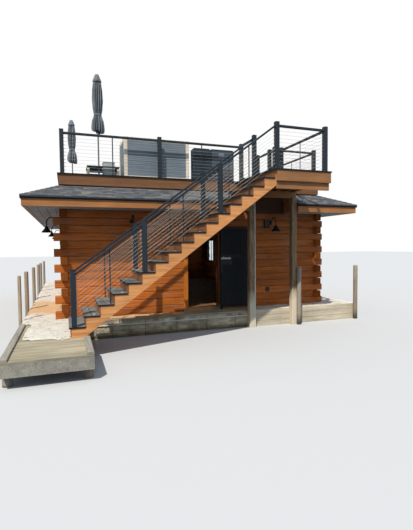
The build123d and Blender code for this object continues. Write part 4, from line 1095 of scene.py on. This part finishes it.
def lamp(x, y, turn):
    """Plate, bent tube, shade, dark inside and bulb; turn is the way that the wall faces."""
    way = Vector((math.cos(turn), math.sin(turn), 0))
    wall = Vector((x, y, LAMP_Z))
    rim = []
    for depth, radius in PLATE:
        rim += circle(wall + way * depth, radius, LAMP_SIDES, UP.cross(way), UP)
    lamps.add(rim, ring_faces(3, LAMP_SIDES) + end_faces(3, LAMP_SIDES)[1:], 0.5)
    tip = wall + way * LAMP_OUT
    path = [wall + way * LAMP_OUT * out + UP * LAMP_RISE * up for out, up in smooth_line(NECK, 4)]
    lamps.tube(path + [tip - UP * LAMP_DROP], NECK_R, 8, 0.5)
    centre = tip - UP * (LAMP_DROP + SOCKET_H + SHADE_H)
    lamps.lathe(SHADE_OUTSIDE, centre, LAMP_SIDES, 0.5)
    lamps.lathe(SHADE_INSIDE, centre, LAMP_SIDES, 0.5, 1)
    lamps.lathe(BULB, centre, 14, 0.5, 2)


lamps = Build()
for px in FRONT_LAMPS:
    lamp(px, -WALL_Y, -math.pi / 2)
for py in SIDE_WINDOWS:
    lamp(-WALL_X, py, math.pi)
    lamp(WALL_X, py, 0.0)
place_piece("swan_neck_lamps", lamps, ["black", "enamel", "lens"],
            ("lamp_arms", "lamp_shades"))

# Slatted cabinet on the roof deck
BAR = 0.085
LOW_BAR = 0.75 * BAR
BAR_IN = 0.006
BAR_T = BAR - 2 * BAR_IN
SLATS = 19
BACKING_IN = 0.024
cab_low, cab_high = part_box("cabinet_frame")
cabinet = Build()


def four_bars(z0, z1, thick, edge, slot=0):
    """A bar between the corner posts on each of the cabinet's sides, a little behind their faces."""
    for y in (cab_low.y + BAR_IN, cab_high.y - BAR_IN - thick):
        cabinet.box((cab_low.x + BAR, y, z0), (cab_high.x - BAR, y + thick, z1), edge, slot)
    for x in (cab_low.x + BAR_IN, cab_high.x - BAR_IN - thick):
        cabinet.box((x, cab_low.y + BAR, z0), (x + thick, cab_high.y - BAR, z1), edge, slot)


for x in (cab_low.x, cab_high.x - BAR):
    for y in (cab_low.y, cab_high.y - BAR):
        cabinet.box((x, y, cab_low.z), (x + BAR, y + BAR, cab_high.z), BAR_EDGE)
four_bars(cab_low.z, cab_low.z + LOW_BAR, BAR_T, BOARD_EDGE)
four_bars(cab_high.z - BAR, cab_high.z, BAR_T, BOARD_EDGE)
cabinet.box((cab_low.x + BACKING_IN, cab_low.y + BACKING_IN, cab_low.z + 0.06),
            (cab_high.x - BACKING_IN, cab_high.y - BACKING_IN, cab_high.z - 0.07), THIN_EDGE, 2)
pitch = (cab_high.z - cab_low.z - LOW_BAR - BAR) / SLATS
for row in range(SLATS):
    z = cab_low.z + LOW_BAR + row * pitch
    four_bars(z + 0.0015, z + pitch - 0.0015, 0.014, THIN_EDGE, 1)
lay_boards(cabinet, (cab_low.x + 0.01, cab_low.y + 0.01, cab_high.z - 0.014),
           (cab_high.x - 0.01, cab_high.y - 0.01, cab_high.z - 0.002), 0.11)
place_piece("slatted_cabinet", cabinet, ["cabinet", "slat", "slat_dark"],
            ("cabinet_frame", "cabinet_panels"))

# Louvred units: a case with corner posts and slats all round; the second has a plain panel in front
UNIT_W = (0.480, 0.670)
UNIT_GAP = 0.012
UNIT_POST = 0.030
CASE_IN = 0.012
SLAT_IN = 0.036
LOUVRES = 24
PANEL_ROW = 10
unit_low, unit_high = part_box("louvred_units")
y0, y1 = unit_low.y, unit_high.y - 0.17
z0, z1 = unit_low.z, unit_high.z
pitch = (z1 - z0 - 0.09) / LOUVRES
units = Build()
x0 = unit_low.x
for width in UNIT_W:
    x1 = x0 + width
    panel = width == UNIT_W[1]
    case = [(x0 + 0.006, z0), (x1 - 0.006, z0), (x1 - 0.006, z1 - 0.028), (x1 - 0.028, z1 - 0.002),
            (x0 + 0.028, z1 - 0.002), (x0 + 0.006, z1 - 0.028)]
    units.prism(case, y0 + CASE_IN, y1 - CASE_IN, "y")
    for x in (x0, x1 - UNIT_POST):
        for y in (y0, y1 - UNIT_POST):
            units.box((x, y, z0), (x + UNIT_POST, y + UNIT_POST, z1 - UNIT_POST), BAR_EDGE)
    for row in range(LOUVRES):
        low = z0 + UNIT_POST + row * pitch
        for axis, face, way, deep, start, stop in (
                ("x", y0, 1, 0.013, x0, x1), ("x", y1, -1, 0.013, x0, x1),
                ("y", x0, 1, 0.009, y0, y1), ("y", x1, -1, 0.009, y0, y1)):
            if panel and row >= PANEL_ROW and face == y0:
                continue
            slat = [(face + way * 0.004, low), (face + way * 0.002, low + 0.006),
                    (face + way * deep, low + pitch * 0.9), (face + way * (deep + 0.002), low + pitch * 0.7)]
            units.prism(slat, start + SLAT_IN, stop - SLAT_IN, axis)
    if panel:
        units.box((x0 + SLAT_IN, y0 + 0.002, z0 + UNIT_POST + PANEL_ROW * pitch),
                  (x1 - SLAT_IN, y0 + 0.014, z1 - 0.05), BOARD_EDGE, 1)
        units.box((x0 + 0.23, y0, z1 - 0.24), (x0 + 0.38, y0 + 0.006, z1 - 0.09), THIN_EDGE, 2)
    x0 = x1 + UNIT_GAP
place_piece("louvred_cases", units, ["unit", "unit_pale", "slat"], ("louvred_units",))

# Side table with a dark slatted bench round it and round the near parasol's pole
BLOCK_X = (-2.467, -2.166)
BLOCK_Y = (-4.240, -3.940)
BLOCK_TOP_T = 0.028
BLOCK_PANELS = 4
BENCH_SLATS = 7
SLAT_GAP = 0.010
POLE_CLEAR = 0.026
BLOCK_CLEAR = 0.004
pole_x, pole_y = PARASOL_NEAR
table_low, table_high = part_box("low_table")
bench_top = table_high.z - 0.135
slat_z = bench_top - 0.024
bearer_z = bench_top - 0.066
table = Build()
pitch = (table_high.y - table_low.y + SLAT_GAP) / BENCH_SLATS
for row in range(BENCH_SLATS):
    y0 = table_low.y + row * pitch
    y1 = y0 + pitch - SLAT_GAP
    cuts = [table_low.x, table_high.x]
    if y0 < pole_y + POLE_CLEAR and y1 > pole_y - POLE_CLEAR:
        cuts[1:1] = [pole_x - POLE_CLEAR, pole_x + POLE_CLEAR]
    if y0 < BLOCK_Y[1] + BLOCK_CLEAR and y1 > BLOCK_Y[0] - BLOCK_CLEAR:
        cuts[-1:-1] = [BLOCK_X[0] - BLOCK_CLEAR, BLOCK_X[1] + BLOCK_CLEAR]
    for a, b in zip(cuts[::2], cuts[1::2]):
        table.box((a, y0, slat_z), (b, y1, bench_top), BAR_EDGE)
for x in (table_low.x + 0.012, table_high.x - 0.052):
    table.box((x, table_low.y + 0.02, bearer_z), (x + 0.04, table_high.y - 0.02, slat_z), THIN_EDGE)
    for y in (table_low.y + 0.006, table_high.y - 0.062):
        table.box((x - 0.008, y, table_low.z), (x + 0.048, y + 0.056, bearer_z), BAR_EDGE, 1)
rail_x0, rail_x1 = table_low.x + 0.062, table_high.x - 0.062
front_rails = ((rail_x0, BLOCK_X[0] - 0.012), (BLOCK_X[1] + 0.012, rail_x1))
for y, rails in ((table_low.y + 0.022, front_rails), (table_high.y - 0.040, ((rail_x0, rail_x1),))):
    for z in (table_low.z + 0.060, table_low.z + 0.140):
        for a, b in rails:
            table.box((a, y, z), (b, y + 0.018, z + 0.052), BOARD_EDGE)
block_z = table_high.z - BLOCK_TOP_T
panel_h = (block_z - table_low.z) / BLOCK_PANELS
for row in range(BLOCK_PANELS):
    z = table_low.z + row * panel_h
    table.box((BLOCK_X[0] + 0.008, BLOCK_Y[0] + 0.008, z + 0.002),
              (BLOCK_X[1] - 0.008, BLOCK_Y[1] - 0.008, z + panel_h - 0.002), BOARD_EDGE, 2)
table.box((BLOCK_X[0], BLOCK_Y[0], block_z), (BLOCK_X[1], BLOCK_Y[1], table_high.z), 0.005, 2)
place_piece("slatted_bench", table, ["table", "cabinet", "block"], ("low_table",))

# Closed parasols: pleated cloth tied round the pole; each pair is (distance below the top, radius)
COVER = ((1.500, 0.150), (1.470, 0.160), (1.400, 0.168), (1.300, 0.162), (1.180, 0.148), (1.080, 0.114),
         (1.020, 0.094), (0.960, 0.108), (0.850, 0.126), (0.640, 0.139), (0.420, 0.130), (0.260, 0.112),
         (0.200, 0.096), (0.150, 0.088), (0.120, 0.080), (0.060, 0.064), (0.010, 0.044))
CAP = ((0.190, 0.114), (0.184, 0.115), (0.140, 0.104), (0.085, 0.082), (0.040, 0.064), (0.006, 0.050))
TIE_DOWN = 1.020
FINIAL_DOWN = 0.028
TIE = [(0.094, -0.018), (0.098, -0.014), (0.098, 0.014), (0.094, 0.018)]
FINIAL = [(0.052, -0.012), (0.050, 0.002), (0.034, 0.008), (0.020, 0.010), (0.019, 0.024), (0.0005, 0.028)]
PLEATS = 15
CLOTH_ROWS = 46
HEM = COVER[0][0]
LEAST_R = 0.024
parasol_top = DECK_Z + PARASOL_H


def cover_radius(below, angle, seed):
    """Radius of the gathered cloth: deep pleats that lean as they fall."""
    for (b0, r0), (b1, r1) in zip(COVER, COVER[1:]):
        if b0 >= below >= b1:
            t = (b0 - below) / (b0 - b1)
            base = r0 + (r1 - r0) * t * t * (3 - 2 * t)
            break
    wander = noise.noise(Vector((math.cos(angle) * 1.4, math.sin(angle) * 1.4, below * 1.1 + seed)))
    wave = 0.5 + 0.5 * math.cos(PLEATS * angle + 1.6 * below + 3.4 * wander)
    depth = (0.82 if below > 0.2 else 0.10 + 3.4 * below) * (0.75 + 0.5 * abs(wander))
    if 0.99 < below < 1.05:
        depth *= 0.55
    return base * (1 - depth * (1 - wave ** 0.65))


def cap_shape(row, angle):
    """The small upper cloth over the tied one, with soft ridges where the ribs press."""
    below, radius = row
    return radius * (1 - 0.10 * (1 - math.cos(8 * angle)) * below / 0.2), parasol_top - below


trim = Build()
for name, place, seed in (("near_parasol_cloth", PARASOL_NEAR, 0.4),
                          ("far_parasol_cloth", PARASOL_FAR, 5.2)):
    def cloth_shape(below, angle):
        hang = max(0.0, below - 1.2) / 0.3
        lift = hang * (0.030 * (1 - math.cos(angle)) + 0.018 * math.sin(3 * angle + seed) + 0.018)
        return max(LEAST_R, cover_radius(below, angle, seed)), parasol_top - below + lift

    rows = [HEM + (COVER[-1][0] - HEM) * ring / (CLOTH_ROWS - 1) for ring in range(CLOTH_ROWS)]
    gathered = Build()
    gathered.turned(*place, rows, PLEATS * 9, cloth_shape, 0.5)
    piece = place_piece(name, gathered, ["cloth"], ("parasol_covers",))
    trim.lathe(TIE, (*place, parasol_top - TIE_DOWN), 28, 0.5)
    trim.turned(*place, CAP, 64, cap_shape, 0.6)
    trim.lathe(FINIAL, (*place, parasol_top - FINIAL_DOWN), 20, 0.5, 1)
place_piece("parasol_trim", trim, ["cloth", "slate"])

# Conduit along the crib and up beside the first landing post, with its couplings
PIPE_R = 0.013
COUPLING_R = 0.015
COUPLING = 0.03
PIPE_Z = 0.300
PIPE_SIDES = 14
PIPE_X1 = 1.0245
UPRIGHT = (1.188, -5.485)
CLIP_H = 0.018
CLIP_X = (-0.015, 0.015)
CLIP_Y = (-0.017, 0.016)
pipe_low, pipe_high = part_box("conduits")
pipe_y = crib_low.y - PIPE_R
pipes = Build()
pipes.tube([(pipe_low.x, pipe_y, PIPE_Z), (PIPE_X1, pipe_y, PIPE_Z)], PIPE_R, PIPE_SIDES)
pipes.tube([(*UPRIGHT, 0.0), (*UPRIGHT, pipe_high.z)], PIPE_R, PIPE_SIDES)
for px in (-2.25, -0.75, 0.75):
    ends = [(px - COUPLING, pipe_y - 0.001, PIPE_Z), (px + COUPLING, pipe_y - 0.001, PIPE_Z)]
    pipes.tube(ends, COUPLING_R, PIPE_SIDES)
for z in (0.75, 2.25):
    pipes.tube([(*UPRIGHT, z - COUPLING), (*UPRIGHT, z + COUPLING)], COUPLING_R, PIPE_SIDES)
place_piece("conduit_runs", pipes, ["plastic_grey"], ("conduits",))

# Small fixings: conduit clips, nails in the face boards, bolts on the hasp
NAIL = 0.007
NAIL_ROWS = (0.07, 0.215, 0.36)
BOLT = 0.008
BOLT_Z = 1.786
board_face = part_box("dock_face_boards")[0].y
fixings = Build()
for number in range(6):
    px = -2.6 + 0.62 * number
    fixings.box((px - 0.012, crib_low.y - 0.029, PIPE_Z - CLIP_H),
                (px + 0.012, crib_low.y, PIPE_Z + CLIP_H), BOARD_EDGE, 1)
for number in range(5):
    z = 0.62 + 0.60 * number
    fixings.box((UPRIGHT[0] + CLIP_X[0], UPRIGHT[1] + CLIP_Y[0], z),
                (UPRIGHT[0] + CLIP_X[1], UPRIGHT[1] + CLIP_Y[1], z + 0.022), BOARD_EDGE, 1)
for number in range(10):
    px = 1.30 + 0.34 * number
    for z in NAIL_ROWS:
        fixings.box((px - NAIL, board_face - 0.0025, z - NAIL),
                    (px + NAIL, board_face + 0.001, z + NAIL), THIN_EDGE)
place_piece("small_fixings", fixings, ["zinc", "plastic_grey"])
hasp_low, hasp_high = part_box("door_hasp")
bolts = Build()
for share in (0.08, 0.3, 0.62, 0.92):
    px = hasp_low.x + share * (hasp_high.x - hasp_low.x)
    bolts.box((px - BOLT, hasp_low.y - 0.004, BOLT_Z - BOLT),
              (px + BOLT, hasp_low.y + 0.002, BOLT_Z + BOLT), BOARD_EDGE)
place_piece("hasp_bolts", bolts, ["zinc"], body="door")

# Camera at the photograph's place and angle
camera_data = bpy.data.cameras.new("camera")
camera_data.sensor_width = 36.0
camera_data.lens = 26.69
camera_data.clip_end = 500.0
camera = link_object("camera", camera_data)
yaw, pitch, roll = (math.radians(angle) for angle in (19.629, -2.711, -0.574))
forward = Vector((math.sin(yaw) * math.cos(pitch), math.cos(yaw) * math.cos(pitch), math.sin(pitch)))
right = Vector((math.cos(yaw), -math.sin(yaw), 0))
up = right.cross(forward)
camera_x = right * math.cos(roll) + up * math.sin(roll)
camera_y = up * math.cos(roll) - right * math.sin(roll)
rotation = Matrix((camera_x, camera_y, -forward)).transposed()
camera.matrix_world = Matrix.Translation((-3.407, -14.626, 2.110)) @ rotation.to_4x4()
bpy.context.scene.camera = camera

# Plain floor: pale where it is seen, and darker for the light that it throws back, as water is
FLOOR = 90.0
FLOOR_Z = -0.002
floor_mat = bpy.data.materials.new("floor_pale")
floor_mat.use_nodes = True
floor_nodes = Nodes(floor_mat.node_tree)
pale = floor_nodes.add("BsdfPrincipled", {"Base Color": 0.52, "Roughness": 0.95, "Specular IOR Level": 0.0})
returned = floor_nodes.add("BsdfDiffuse", {"Color": (0.14, 0.16, 0.17)})
floor_nodes.seen_or_not(pale, returned, "OutputMaterial")
floor_mesh = bpy.data.meshes.new("floor")
corners = [(x * FLOOR, y * FLOOR, FLOOR_Z) for x, y in ((-1, -1), (1, -1), (1, 1), (-1, 1))]
floor_mesh.from_pydata(corners, [], [(0, 1, 2, 3)])
floor_mesh.materials.append(floor_mat)
floor = link_object("studio_floor", floor_mesh)

# World: soft sky light, and white where it is seen or mirrored
world = bpy.data.worlds.new("world")
bpy.context.scene.world = world
world.use_nodes = True
sky = Nodes(world.node_tree)
sky_light = sky.add("Background", {"Color": (0.70, 0.83, 1.0), "Strength": 0.66})
white = sky.add("Background", {"Color": 1.0, "Strength": 1.0})
sky.seen_or_not(white, sky_light, "OutputWorld")

# Sun high on the left, as the railing's and the eave's shadows show
sun_data = bpy.data.lights.new("sun", "SUN")
sun_data.energy = 4.3
sun_data.angle = math.radians(0.9)
sun_data.color = (1.0, 0.96, 0.89)
sun = link_object("sun", sun_data)
sun.rotation_mode = "QUATERNION"
sun.rotation_quaternion = Vector((-0.79, -1.0, 1.72)).to_track_quat("Z", "Y")

bpy.context.scene.view_settings.view_transform = "Standard"
